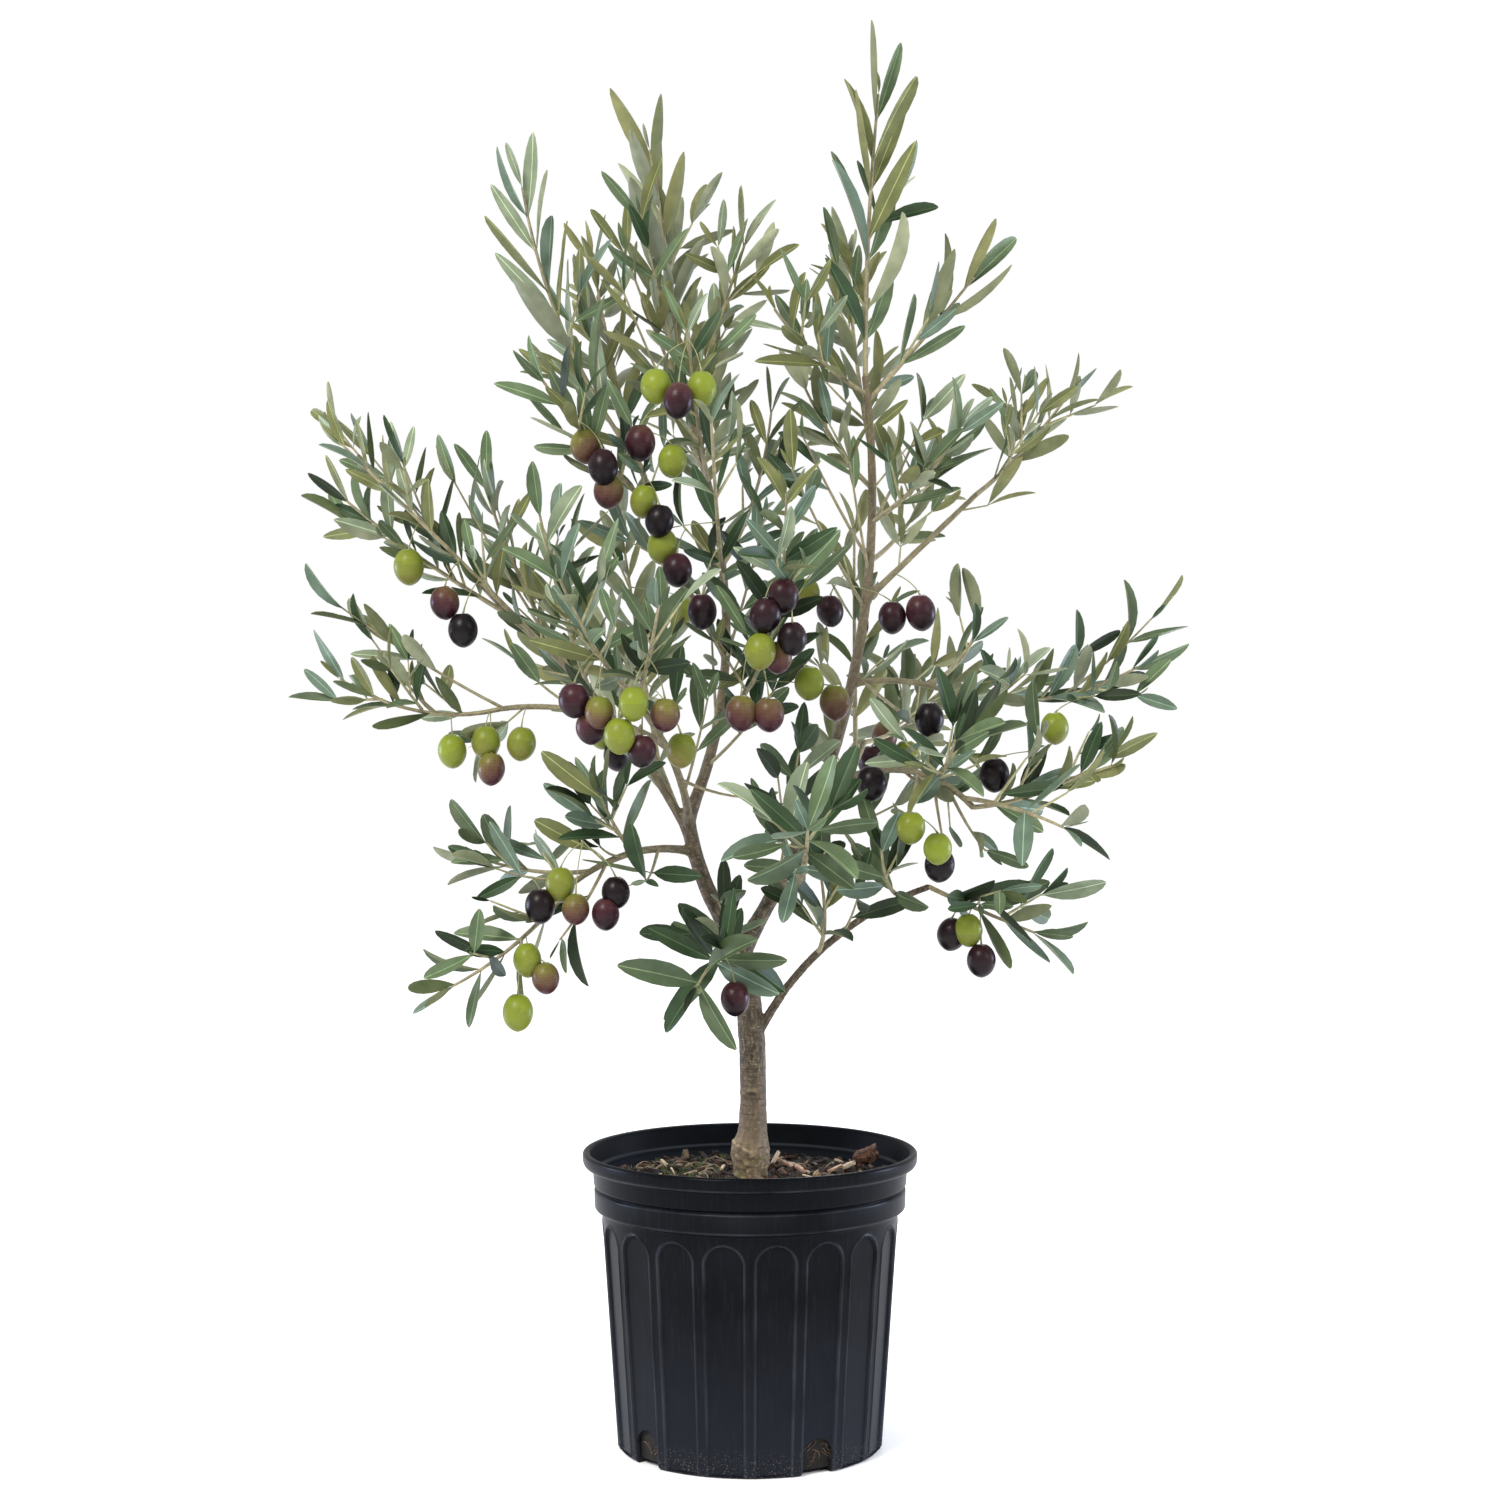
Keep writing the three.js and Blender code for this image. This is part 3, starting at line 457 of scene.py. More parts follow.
# Tints of the foliage: name, upper side, underside, and how common it is low down and high up
TINTS = [
    ["sage", "#586a4b", "#6f7558", 2.2, 2.6],
    ["blue", "#5a6d5c", "#797f68", 1.0, 1.5],
    ["mid", "#45543a", "#646a49", 2.6, 1.2],
    ["khaki", "#656a41", "#72744b", 0.3, 3.2],
    ["forest", "#2d4127", "#4f5a39", 3.2, 0.06],
    # The deep tint, near black and only low down, is partly the darkest green of old leaves and partly
    # painted shade of the lower crown
    ["deep", "#1c2a15", "#414c2d", 2.0, 0],
    ["pale", "#78856c", "#8f9578", 1.0, 1.7],
]

# A leaf's outline: share of its length, half its width there if pointed, and if blunt
LEAF_ROWS = [
    (0, 0.045, 0.045),
    (0.06, 0.05, 0.05),
    (0.15, 0.23, 0.2),
    (0.3, 0.43, 0.38),
    (0.48, 0.5, 0.49),
    (0.66, 0.46, 0.5),
    (0.82, 0.345, 0.42),
    (0.94, 0.19, 0.26),
    (1, 0.03, 0.07),
]
MIDRIB_HALF = 0.026
LEAF_THICKNESS = 0.008

# Shapes of the blades: arch, twist, fold and which outline, 1 pointed or 2 blunt
LEAF_SHAPES = [
    (0.12, 0.25, 0.12, 1),
    (-0.1, -0.3, 0.08, 1),
    (0.03, 0.6, 0.05, 1),
    (0.2, -0.15, 0.2, 2),
    (0.06, -0.6, 0.15, 2),
    (-0.14, 0.3, 0.1, 2),
]

# Marks in the bark: stretch across and along the grain, size in millimetres, detail and roughness
BARK_MARKS = {
    "fissures": [(1, 1, 0.3), 2.6, 5, 0.6],
    "patches": [(1, 1, 0.5), 13, 3],
    "rings": [(0.15, 0.15, 1.5), 2.6],
    "pores": [(0.6, 0.6, 1.6), 1.9],
}

# Lamps: place, the point that each looks at, width, power in watts and tint
LAMPS = {
    "key_light": [(-1.6, -2.4, 3.2), (0, 0, 0.7), 1.5, 120, "#fffaf2"],
    "fill_light": [(2.4, -1.6, 1.8), (0, 0, 0.6), 1.8, 22, "#f4f8ff"],
    "left_strip": [(-2.2, 0.5, 0.5), (0, 0, 0.3), 0.8, 30, "#cddaff"],
    "right_strip": [(2.2, 0.5, 0.5), (0, 0, 0.3), 0.8, 40, "#d3deff"],
    "rim_light": [(0.3, 2.6, 2.2), (0, 0, 0.4), 0.7, 26, "#f4f8ff"],
}


# Colour and nodes

def colour(hex_value):
    """Linear colour from an sRGB hex value"""
    parts = [int(hex_value[i:i + 2], 16) / 255 for i in (1, 3, 5)]
    line = [p / 12.92 if p <= 0.04045 else ((p + 0.055) / 1.055) ** 2.4 for p in parts]
    return (*line, 1.0)


def add(tree, kind, output, inputs=None, stops=(), **settings):
    """Adds a node with its settings, its values or links and its colour stops, and gives an output"""
    made = tree.nodes.new("ShaderNode" + kind)
    for name, value in settings.items():
        setattr(made, name, value)
    for key, value in (inputs or {}).items():
        if isinstance(value, bpy.types.NodeSocket):
            tree.links.new(value, made.inputs[key])
        else:
            made.inputs[key].default_value = value
    if stops:
        elements = made.color_ramp.elements
        while len(elements) < len(stops):
            elements.new(0.5)
        for element, (place, value) in zip(elements, stops):
            element.position = place
            element.color = colour(value)
    return made.outputs[output]


def start_material(name, roughness, ior=1.5, sheen=0.5, coat=None):
    """A material with its uniform values on the shader's own sockets, and its object coordinates"""
    material = bpy.data.materials.new(name)
    material.use_nodes = True
    tree = material.node_tree
    shader = tree.nodes["Principled BSDF"]
    uniform = {"Roughness": roughness, "IOR": ior, "Specular IOR Level": sheen, **(coat or {})}
    for socket, value in uniform.items():
        shader.inputs[socket].default_value = value
    return material, tree, shader, add(tree, "TexCoord", "Object")


def sized(place, size_mm, detail=2, roughness=0.5):
    """Inputs of a pattern whose marks are about that many millimetres across"""
    return {"Vector": place, "Scale": 1 / (size_mm * MM), "Detail": detail, "Roughness": roughness}


def layered(tree, tone, layers):
    """Colours laid over a tone in turn, each by its amount, where its masks pass from low to high"""
    for over, amount, *masks in layers:
        factor = amount
        for source, low, high in masks:
            inside = add(tree, "MapRange", "Result", {"Value": source, "From Min": low, "From Max": high})
            factor = add(tree, "Math", "Value", {0: inside, 1: factor}, operation="MULTIPLY")
        over = colour(over) if isinstance(over, str) else over
        tone = add(tree, "Mix", 2, {0: factor, 6: tone, 7: over}, data_type="RGBA")
    return tone


def finish(tree, shader, tone, relief=None, depth_mm=0, strength=1.0):
    """Gives the shader its colour, and its relief where it has one"""
    tree.links.new(tone, shader.inputs["Base Color"])
    if depth_mm:
        raised = {"Height": relief, "Distance": depth_mm * MM, "Strength": strength}
        tree.links.new(add(tree, "Bump", "Normal", raised), shader.inputs["Normal"])


# Materials

def pot_inside():
    """Moulded black polypropylene inside the pot: duller and greyer than its handled outside"""
    material, tree, shader, place = start_material("black_polypropylene_inside", 0.45, sheen=POT_SHEEN)
    height = add(tree, "SeparateXYZ", "Z", {"Vector": place})
    edge_highlight = add(tree, "Attribute", "Fac", attribute_name="edge_highlight")
    cloudy = add(tree, "TexNoise", "Fac", sized(place, 45, 3))
    plain = add(tree, "ValToRGB", "Color", {"Fac": cloudy}, stops=[(0.3, "#07090c"), (0.7, "#101317")])
    seat = (POT_HEIGHT - SEAT_DEPTH) * MM
    finish(tree, shader, layered(tree, plain, [
        ("#252a2f", 0.6, (height, seat, seat - 0.004)),
        # Painted highlight: a pale line along the edge of the seat
        ("#5d626b", 0.4, (edge_highlight, 0, 1)),
    ]))
    return material


def pot_plastic():
    """Moulded black polypropylene: near black, satin, with upright scuffs and dust low down; painted shade
    leaves its upper part darker than its foot, and painted highlights run along its edges
    """
    coat = {"Coat Weight": 0.1, "Coat Roughness": 0.2, "Coat IOR": 1.4}
    material, tree, shader, place = start_material("black_polypropylene", 0.34, sheen=POT_SHEEN, coat=coat)
    height = add(tree, "SeparateXYZ", "Z", {"Vector": place})
    edge_highlight = add(tree, "Attribute", "Fac", attribute_name="edge_highlight")
    drawn_up = add(tree, "Mapping", "Vector", {"Vector": place, "Scale": (1, 1, 0.06)})
    cloudy = add(tree, "TexNoise", "Fac", sized(place, 45, 3))
    # Real scuffs and specks are finer than half a millimetre, and are drawn as coarse as they need to show
    streaks = add(tree, "TexNoise", "Fac", sized(drawn_up, 2.4, 3, 0.6))
    specks = add(tree, "TexNoise", "Fac", sized(place, 1.1, 2, 0.6))
    black = [(0.3, "#030509"), (0.55, "#06080c"), (0.75, "#0a0d12")]
    plain = add(tree, "ValToRGB", "Color", {"Fac": cloudy}, stops=black)
    worn = layered(tree, plain, [
        # Painted shade: lighter and bluish-grey towards the foot, so that the upper pot stays dark as in
        # the crown's shade
        ("#1d2028", 0.75, (height, 0.15, 0.02)),
        ("#282c35", 0.22, (streaks, 0.5, 0.8)),
        # Painted highlight: pale lines along the edges of the panels, the lip and the bands
        ("#5d626b", 0.3, (edge_highlight, 0, 1), (cloudy, 0.3, 0.7)),
        ("#77736a", 1, (specks, 0.6, 0.72), (height, 0.026, 0.004)),
    ])
    finish(tree, shader, worn, add(tree, "TexNoise", "Fac", sized(place, 0.9)), 0.05, 0.3)
    rough = add(tree, "MapRange", "Result", {"Value": streaks, "To Min": 0.3, "To Max": 0.44})
    tree.links.new(rough, shader.inputs["Roughness"])
    return material


def potting_soil():
    """Damp bark compost: matt dark brown crumbs with reddish fibres, darkest behind the drain holes"""
    material, tree, shader, place = start_material("bark_compost", 0.95)
    height = add(tree, "SeparateXYZ", "Z", {"Vector": place})
    crumbs = add(tree, "TexNoise", "Fac", sized(place, 3.2, 4, 0.65))
    patches = add(tree, "TexNoise", "Fac", sized(place, 14))
    browns = [(0.35, "#090604"), (0.5, "#17100b"), (0.62, "#2b1e15"), (0.75, "#3c2b20")]
    damp = layered(tree, add(tree, "ValToRGB", "Color", {"Fac": crumbs}, stops=browns), [
        ("#231a13", 1, (patches, 0.5, 0.7)),
        ("#070504", 0.8, (height, 0.06, 0.04)),
    ])
    finish(tree, shader, damp, crumbs, 1.2)
    return material


def plain_grain(name, low, high, size_mm, roughness, depth_mm=0):
    """A small natural thing: two close tones in soft blotches, with a slight relief"""
    material, tree, shader, place = start_material(name, roughness)
    tone = add(tree, "TexNoise", "Fac", sized(place, size_mm, 3))
    shaded = add(tree, "ValToRGB", "Color", {"Fac": tone}, stops=[(0.35, low), (0.65, high)])
    finish(tree, shader, shaded, tone, depth_mm)
    return material


def olive_bark():
    """Young olive bark: brown with fine rings and pores, mottled at the foot, grey on young boughs; painted
    light and shade at the knot, the graft and the foot
    """
    material, tree, shader, place = start_material("olive_bark", 0.8)
    grain = add(tree, "Attribute", "Vector", attribute_name="grain")
    marks = add(tree, "Attribute", "Vector", attribute_name="marks")
    dark, pale, young = (add(tree, "SeparateXYZ", axis, {"Vector": marks}) for axis in "XYZ")
    height = add(tree, "SeparateXYZ", "Z", {"Vector": place})
    foot = (height, 0.262, 0.244)
    seen = {}
    for name, (stretch, *size) in BARK_MARKS.items():
        along = add(tree, "Mapping", "Vector", {"Vector": grain, "Scale": stretch})
        seen[name] = add(tree, "TexNoise", "Fac", sized(along, *size))
    mottle = add(tree, "TexNoise", "Fac", sized(place, 3.4, 3))
    film = add(tree, "TexNoise", "Fac", sized(place, 6))
    browns = [(0.32, "#231c15"), (0.44, "#3c3328"), (0.56, "#574d3f"), (0.7, "#7a6d58")]
    greys = [(0.35, "#67604a"), (0.65, "#8c8467")]
    wood, smooth_grey = (
        add(tree, "ValToRGB", "Color", {"Fac": seen["fissures"]}, stops=stops) for stops in (browns, greys)
    )
    bark = layered(tree, wood, [
        # Painted shade: lighter at the trunk's foot, leaving the trunk above it darker as if in the crown's
        # shade
        ("#8a7860", 0.6, (height, 0.33, 0.25)),
        ("#51462f", 0.5, (seen["patches"], 0.45, 0.7)),
        ("#30271d", 0.6, (seen["rings"], 0.54, 0.7)),
        ("#a89877", 0.55, (seen["pores"], 0.6, 0.72)),
        ("#a3906c", 0.75, foot, (mottle, 0.5, 0.62)),
        ("#4e5427", 0.6, foot, (film, 0.54, 0.64)),
        ("#857a5d", 0.4, (height, 0.45, 0.72)),
        (smooth_grey, 1, (young, 0, 1)),
        # Painted shade in the knot's slit
        ("#241b13", 1, (dark, 0, 1)),
        # Painted highlight on the knot's lid and on the graft's ridge
        ("#bda988", 1, (pale, 0, 1)),
    ])
    finish(tree, shader, bark, seen["fissures"], 0.6, 0.9)
    return material


def leaf_skin(name, base, roughness, paler=1):
    """Olive leaf, leathery with a thin wax: one side of the blade or its paler midrib, plain and satin"""
    material, tree, shader, place = start_material(name, roughness, WAX_IOR, LEAF_SHEEN)
    r, g, b = (part * paler + 0.012 * (paler > 1) for part in colour(base)[:3])
    darker = (r * 0.8, g * 0.82, b * 0.8, 1)
    lighter = (min(1, r * 1.2), min(1, g * 1.17), min(1, b * 1.2), 1)
    shade = add(tree, "TexNoise", "Fac", sized(place, 16))
    finish(tree, shader, layered(tree, darker, [(lighter, 1, (shade, 0.3, 0.7))]))
    return material


def olive_skin(step):
    """Waxy olive skin: one step of the ripening scale, with pale pores and a soft gloss"""
    material, tree, shader, place = start_material(f"olive_skin_{step}", 0.32, WAX_IOR, OLIVE_SHEEN)
    at = step / (SKIN_STEPS - 1) * (len(RIPENESS) - 1)
    low = min(int(at), len(RIPENESS) - 2)
    first, second = np.array(colour(RIPENESS[low])), np.array(colour(RIPENESS[low + 1]))
    base = tuple(first + (second - first) * (at - low))
    pale = tuple(min(1, part * 1.45 + 0.01) for part in base[:3]) + (1,)
    # Real pores are half a millimetre wide, and are drawn larger so that they show
    pores = add(tree, "TexNoise", "Fac", sized(place, 1.3, 1))
    finish(tree, shader, layered(tree, base, [(pale, 0.5, (pores, 0.66, 0.74))]))
    return material


# Modelling by operators

def deselect():
    bpy.ops.object.select_all(action="DESELECT")


def pick(obj):
    """Makes an object the only selected one"""
    deselect()
    obj.select_set(True)
    bpy.context.view_layer.objects.active = obj
    return obj


def new_object(name, data):
    """An object for a new mesh, curve, camera or lamp"""
    obj = bpy.data.objects.new(name, data)
    bpy.context.scene.collection.objects.link(obj)
    return pick(obj)


def named(name):
    """The primitive just added, under its piece's name"""
    obj = bpy.context.object
    obj.name = name
    obj.data.name = name
    return pick(obj)


@contextmanager
def edit_mode():
    """Edit mode with the whole mesh selected, and back"""
    bpy.ops.object.mode_set(mode="EDIT")
    bpy.ops.mesh.select_all(action="SELECT")
    yield
    bpy.ops.object.mode_set(mode="OBJECT")


def block(name, size, cuts=0, bevel=0):
    """A block of that size, cut so often each way, with its edges bevelled"""
    bpy.ops.mesh.primitive_cube_add(size=1)
    made = named(name)
    with edit_mode():
        bpy.ops.transform.resize(value=size)
        if cuts:
            bpy.ops.mesh.subdivide(number_cuts=cuts)
        if bevel:
            bpy.ops.mesh.bevel(offset=bevel, segments=1)
    return made


def apply_modifier(obj, kind, **settings):
    pick(obj)
    modifier = obj.modifiers.new(kind.lower(), kind)
    for name, value in settings.items():
        setattr(modifier, name, value)
    bpy.ops.object.modifier_apply(modifier=modifier.name)


def coordinates(obj):
    """The mesh's points as an array"""
    flat = np.empty(len(obj.data.vertices) * 3)
    obj.data.vertices.foreach_get("co", flat)
    return flat.reshape(-1, 3)


def move_points(obj, points):
    obj.data.vertices.foreach_set("co", np.ascontiguousarray(points, float).ravel())
    obj.data.update()


def finished(obj, angle, *materials):
    """A piece shaded smooth up to that angle, with its materials"""
    pick(obj)
    bpy.ops.object.shade_smooth_by_angle(angle=math.radians(angle))
    for material in materials:
        obj.data.materials.append(material)
    return obj


def hand_over(obj, slot, *nodes):
    """Places a finished piece on the body and hides the nodes that it stands for; its slot is not used"""
    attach(obj, "root")
    if nodes:
        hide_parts(*nodes)


def rounded(points, radii, steps=4):
    """An outline with each corner turned into an arc of its own radius"""
    smoothed = [points[0]]
    for i in range(1, len(points) - 1):
        before, corner, after = (np.array(points[j], float) for j in (i - 1, i, i + 1))
        to_before = before - corner
        to_after = after - corner
        reach_before = np.linalg.norm(to_before)
        reach_after = np.linalg.norm(to_after)
        cut = min(radii[i], reach_before * 0.45, reach_after * 0.45)
        start = corner + to_before / reach_before * cut
        end = corner + to_after / reach_after * cut
        for step in range(steps + 1):
            share = step / steps
            bend = (1 - share) ** 2 * start + 2 * share * (1 - share) * corner + share ** 2 * end
            smoothed.append(tuple(bend))
    smoothed.append(points[-1])
    return smoothed


def spun(name, profile, turns):
    """A closed shell turned about the vertical axis from a list of (radius, height) in millimetres"""
    mesh = bpy.data.meshes.new(name)
    line = [(radius * MM, 0, height * MM) for radius, height in profile]
    mesh.from_pydata(line, [(i, i + 1) for i in range(len(line) - 1)], [])
    obj = new_object(name, mesh)
    with edit_mode():
        bpy.ops.mesh.spin(steps=turns, angle=math.tau, center=(0, 0, 0), axis=(0, 0, 1))
        bpy.ops.mesh.select_all(action="SELECT")
        bpy.ops.mesh.remove_doubles(threshold=0.02 * MM)
        bpy.ops.mesh.normals_make_consistent(inside=False)
    return obj


def with_rows(profile, low, high, step):
    """An outline with extra points between two heights, for relief there"""
    denser = [profile[0]]
    for (r0, z0), (r1, z1) in zip(profile, profile[1:]):
        inside = min(z0, z1) >= low - 0.01 and max(z0, z1) <= high + 0.01
        count = math.ceil(abs(z1 - z0) / step) if inside else 1
        denser += [(r0 + (r1 - r0) * i / count, z0 + (z1 - z0) * i / count) for i in range(1, count)]
        denser.append((r1, z1))
    return denser


def smoothstep(low, high, value):
    share = np.clip((value - low) / (high - low), 0, 1)
    return share * share * (3 - 2 * share)


# Pot

def body_radius(height):
    return BASE_RADIUS + (BODY_TOP_RADIUS - BASE_RADIUS) * height / BAND_FOOT


def pot_profile():
    """Outside from the middle of the floor up to the lip, then the inside down again"""
    lip_foot = POT_HEIGHT - LIP_HEIGHT
    groove_top = lip_foot - BAND_HEIGHT + 1
    groove_foot = groove_top - GROOVE_HEIGHT
    seat = POT_HEIGHT - SEAT_DEPTH
    arch_foot = FLUTE_TOP - 26
    corners = [
        ((0, 0), 0),
        ((BASE_RADIUS - 3, 0), 0),
        ((BASE_RADIUS, 2.2), 2),
        ((body_radius(40), 40), 0),
        ((body_radius(arch_foot), arch_foot), 0),
        ((body_radius(FLUTE_TOP + 3), FLUTE_TOP + 3), 0),
        ((BODY_TOP_RADIUS, BAND_FOOT - 2), 2),
        ((BAND_RADIUS - 1, BAND_FOOT), 2.2),
        ((BAND_RADIUS - 0.6, groove_foot - 0.5), 1.6),
        ((BAND_RADIUS - GROOVE_DEPTH, groove_foot + 1), 0.8),
        ((BAND_RADIUS - 0.2, groove_top), 1.4),
        ((BAND_RADIUS + 0.6, lip_foot - 1.5), 1.6),
        ((RIM_RADIUS - 1.6, lip_foot + 0.2), 2.4),
        ((RIM_RADIUS, lip_foot + 4), 3),
        ((RIM_RADIUS, POT_HEIGHT - 1.8), 1.8),
        ((RIM_RADIUS - 2.4, POT_HEIGHT), 1.8),
        ((RIM_RADIUS - LIP_WIDTH, POT_HEIGHT - 1.4), 1.6),
        ((BAND_RADIUS - 1.6, seat + 1), 1.2),
        ((BAND_RADIUS - WALL, seat - 1), 0.8),
        ((BAND_RADIUS - WALL, BAND_FOOT), 1),
        ((BODY_TOP_RADIUS - WALL, BAND_FOOT - TAPER_STEP), 1),
        ((BASE_RADIUS - WALL, WALL), 2),
        ((0, WALL), 0),
    ]
    outline = rounded([point for point, _ in corners], [radius for _, radius in corners])
    tall = with_rows(outline, 2, arch_foot, 14)
    return with_rows(tall, arch_foot, FLUTE_TOP + 3, 1.3)


def flute_inset(x, y, z):
    """How far points of the wall are inside the edge of their panel, and their turn from its middle"""
    pitch = math.tau / FLUTE_COUNT
    off = ((np.arctan2(x, -y) / pitch) % 1 - 0.5) * pitch
    half_width = body_radius(z) * math.sin(HALF_PANEL)
    top_half_width = body_radius(FLUTE_TOP) * math.sin(HALF_PANEL)
    spring = FLUTE_TOP - top_half_width
    across = body_radius(z) * np.sin(off)
    beside = half_width - np.abs(across)
    below = top_half_width - np.hypot(across, z - spring)
    return np.where(z < spring, beside, below), off


def flute_pressed(points):
    """Presses the arch-topped panels into the wall, each with a fine raised edge"""
    x, y, z = points.T / MM
    radius = np.hypot(x, y)
    inside, off = flute_inset(x, y, z)
    wall = body_radius(z)
    flat = (wall * math.cos(HALF_PANEL) - FLUTE_SUNK) / np.cos(off)
    sunk = (wall - flat) * smoothstep(0, FLUTE_EDGE, inside)
    bead = BEAD_HEIGHT * np.exp(-(inside / BEAD_WIDTH) ** 2)
    outer = (radius > wall - 1) & (z > 0.01) & (z < FLUTE_TOP + 4)
    foot = smoothstep(0, 3, z)
    change = np.where(outer, bead * foot - sunk, 0)
    scale = (radius + change) / np.maximum(radius, 1e-6)
    return np.column_stack([x * scale, y * scale, z]) * MM


def painted_edge_lights(points):
    """Painted highlight on the plastic: 1 on the edges of the panels, of the lip and of the bands, and on
    the seat
    """
    x, y, z = points.T / MM
    outside = np.hypot(x, y) > body_radius(z) - 1
    panel = np.exp(-(flute_inset(x, y, z)[0] / EDGE_WIDTH) ** 2) * (z < FLUTE_TOP + 2)
    lip_foot = POT_HEIGHT - LIP_HEIGHT
    edges = [BAND_FOOT + 0.5, lip_foot - BAND_HEIGHT - GROOVE_HEIGHT + 0.5, lip_foot + 0.8]
    ring = sum(np.exp(-((z - height) / EDGE_WIDTH) ** 2) for height in edges)
    seat = np.exp(-((z - POT_HEIGHT + SEAT_DEPTH - 0.6) / EDGE_WIDTH) ** 2)
    return np.clip(np.where(outside, 0.8 * panel + ring, 0) + 0.7 * seat, 0, 1)


def drain_cutter(turn):
    """An arched block through the wall and the edge of the floor"""
    half = DRAIN_WIDTH / 2
    spring = DRAIN_HEIGHT - half
    angles = [math.pi * i / 12 for i in range(13)]
    arc = [(half * math.cos(angle), spring + half * math.sin(angle)) for angle in angles]
    outline = [(half, -3)] + arc + [(-half, -3)]
    mesh = bpy.data.meshes.new("drain_cutter")
    inner = (BASE_RADIUS - 12) * MM
    mesh.from_pydata([(x * MM, -inner, z * MM) for x, z in outline], [], [list(range(len(outline)))])
    obj = new_object("drain_cutter", mesh)
    with edit_mode():
        bpy.ops.mesh.extrude_region_move(TRANSFORM_OT_translate={"value": (0, -24 * MM, 0)})
        bpy.ops.mesh.select_all(action="SELECT")
        bpy.ops.mesh.normals_make_consistent(inside=False)
    obj.rotation_euler.z = math.radians(turn)
    bpy.ops.object.transform_apply(location=False, rotation=True, scale=False)
    return obj


def make_pot():
    pot = spun("pot_shell", pot_profile(), POT_TURNS)
    move_points(pot, flute_pressed(coordinates(pot)))
    for turn in DRAIN_TURNS:
        cutter = drain_cutter(turn)
        apply_modifier(pot, "BOOLEAN", operation="DIFFERENCE", object=cutter, solver="EXACT")
        bpy.data.objects.remove(cutter)
    # Pale lines where light catches the edges of the panels, lip, bands and seat: a painted highlight
    edge_highlight = pot.data.attributes.new("edge_highlight", "FLOAT", "POINT")
    edge_highlight.data.foreach_set("value", painted_edge_lights(coordinates(pot)))
    pot.data.materials.clear()
    finished(pot, 38, pot_plastic(), pot_inside())
    for face in pot.data.polygons:
        inward = face.normal.x * face.center.x + face.normal.y * face.center.y < 0
        face.material_index = 1 if inward and face.center.z > WALL * MM else 0
    hand_over(pot, "pot", "pot")


# Copies of small templates, joined

def read_template(obj):
    """A template's points, corners and faces, after which the template is removed"""
    mesh = obj.data
    corner = np.empty(len(mesh.loops), np.int32)
    start = np.empty(len(mesh.polygons), np.int32)
    slot = np.empty(len(mesh.polygons), np.int32)
    mesh.loops.foreach_get("vertex_index", corner)
    mesh.polygons.foreach_get("loop_start", start)
    mesh.polygons.foreach_get("material_index", slot)
    template = {"points": coordinates(obj), "corner": corner, "start": start, "slot": slot}
    bpy.data.objects.remove(obj)
    return template


def joined(name, batches, materials):
    """One mesh of many copies: each batch is a template, frames, places and the copies' first slots"""
    points, corners, starts, slots = [], [], [], []
    point_count = corner_count = 0
    for template, frames, places, first_slots in batches:
        size, round_size = len(template["points"]), len(template["corner"])
        order = np.arange(len(places))[:, None]
        moved = np.einsum("kij,vj->kvi", np.asarray(frames), template["points"])
        points.append((moved + np.asarray(places)[:, None]).reshape(-1, 3))
        corners.append((template["corner"] + order * size + point_count).ravel())
        starts.append((template["start"] + order * round_size + corner_count).ravel())
        slots.append((template["slot"] + np.asarray(first_slots)[:, None]).ravel())
        point_count += len(places) * size
        corner_count += len(places) * round_size
    starts = np.concatenate(starts).astype(np.int32)
    mesh = bpy.data.meshes.new(name)
    mesh.vertices.add(point_count)
    mesh.loops.add(corner_count)
    mesh.polygons.add(len(starts))
    mesh.vertices.foreach_set("co", np.concatenate(points).ravel() * MM)
    mesh.loops.foreach_set("vertex_index", np.concatenate(corners).astype(np.int32))
    mesh.polygons.foreach_set("loop_start", starts)
    for material in materials:
        mesh.materials.append(material)
    mesh.polygons.foreach_set("material_index", np.concatenate(slots).astype(np.int32))
    mesh.update(calc_edges=True)
    return new_object(name, mesh)


def turned_frames(angles, tilts, sizes):
    """Frames for small things: tilted about a level axis, then turned about the vertical"""
    frames = []
    for angle, tilt, size in zip(angles, tilts, sizes):
        c, s = math.cos(angle), math.sin(angle)
        ct, st = math.cos(tilt), math.sin(tilt)
        turn = np.array([[c, -s, 0], [s, c, 0], [0, 0, 1]])
        lean = np.array([[ct, 0, st], [0, 1, 0], [-st, 0, ct]])
        frames.append(turn @ lean @ np.diag(size))
    return frames


def strewn(rng, sizes, tilt):
    """Frames for things that lie at random, tilted by a little"""
    return turned_frames(rng.uniform(0, math.tau, len(sizes)), rng.normal(0, tilt, len(sizes)), sizes)


# Soil, bark chips, straw and moss

def soil_height(x, y):
    """Height of the crumbly surface in millimetres"""
    reach = math.hypot(x, y)
    fall = SOIL_FALL * max(0, reach / BAND_RADIUS * 2 - 1)
    lumps = noise.fractal(Vector((x / SOIL_LUMPS["size"], y / SOIL_LUMPS["size"], 3.1)), 1.0, 2.1, 4)
    crumbs = noise.noise(Vector((x / SOIL_CRUMBS["size"], y / SOIL_CRUMBS["size"], 7.7)))
    return SOIL_TOP - fall + SOIL_LUMPS["height"] * lumps + SOIL_CRUMBS["height"] * crumbs


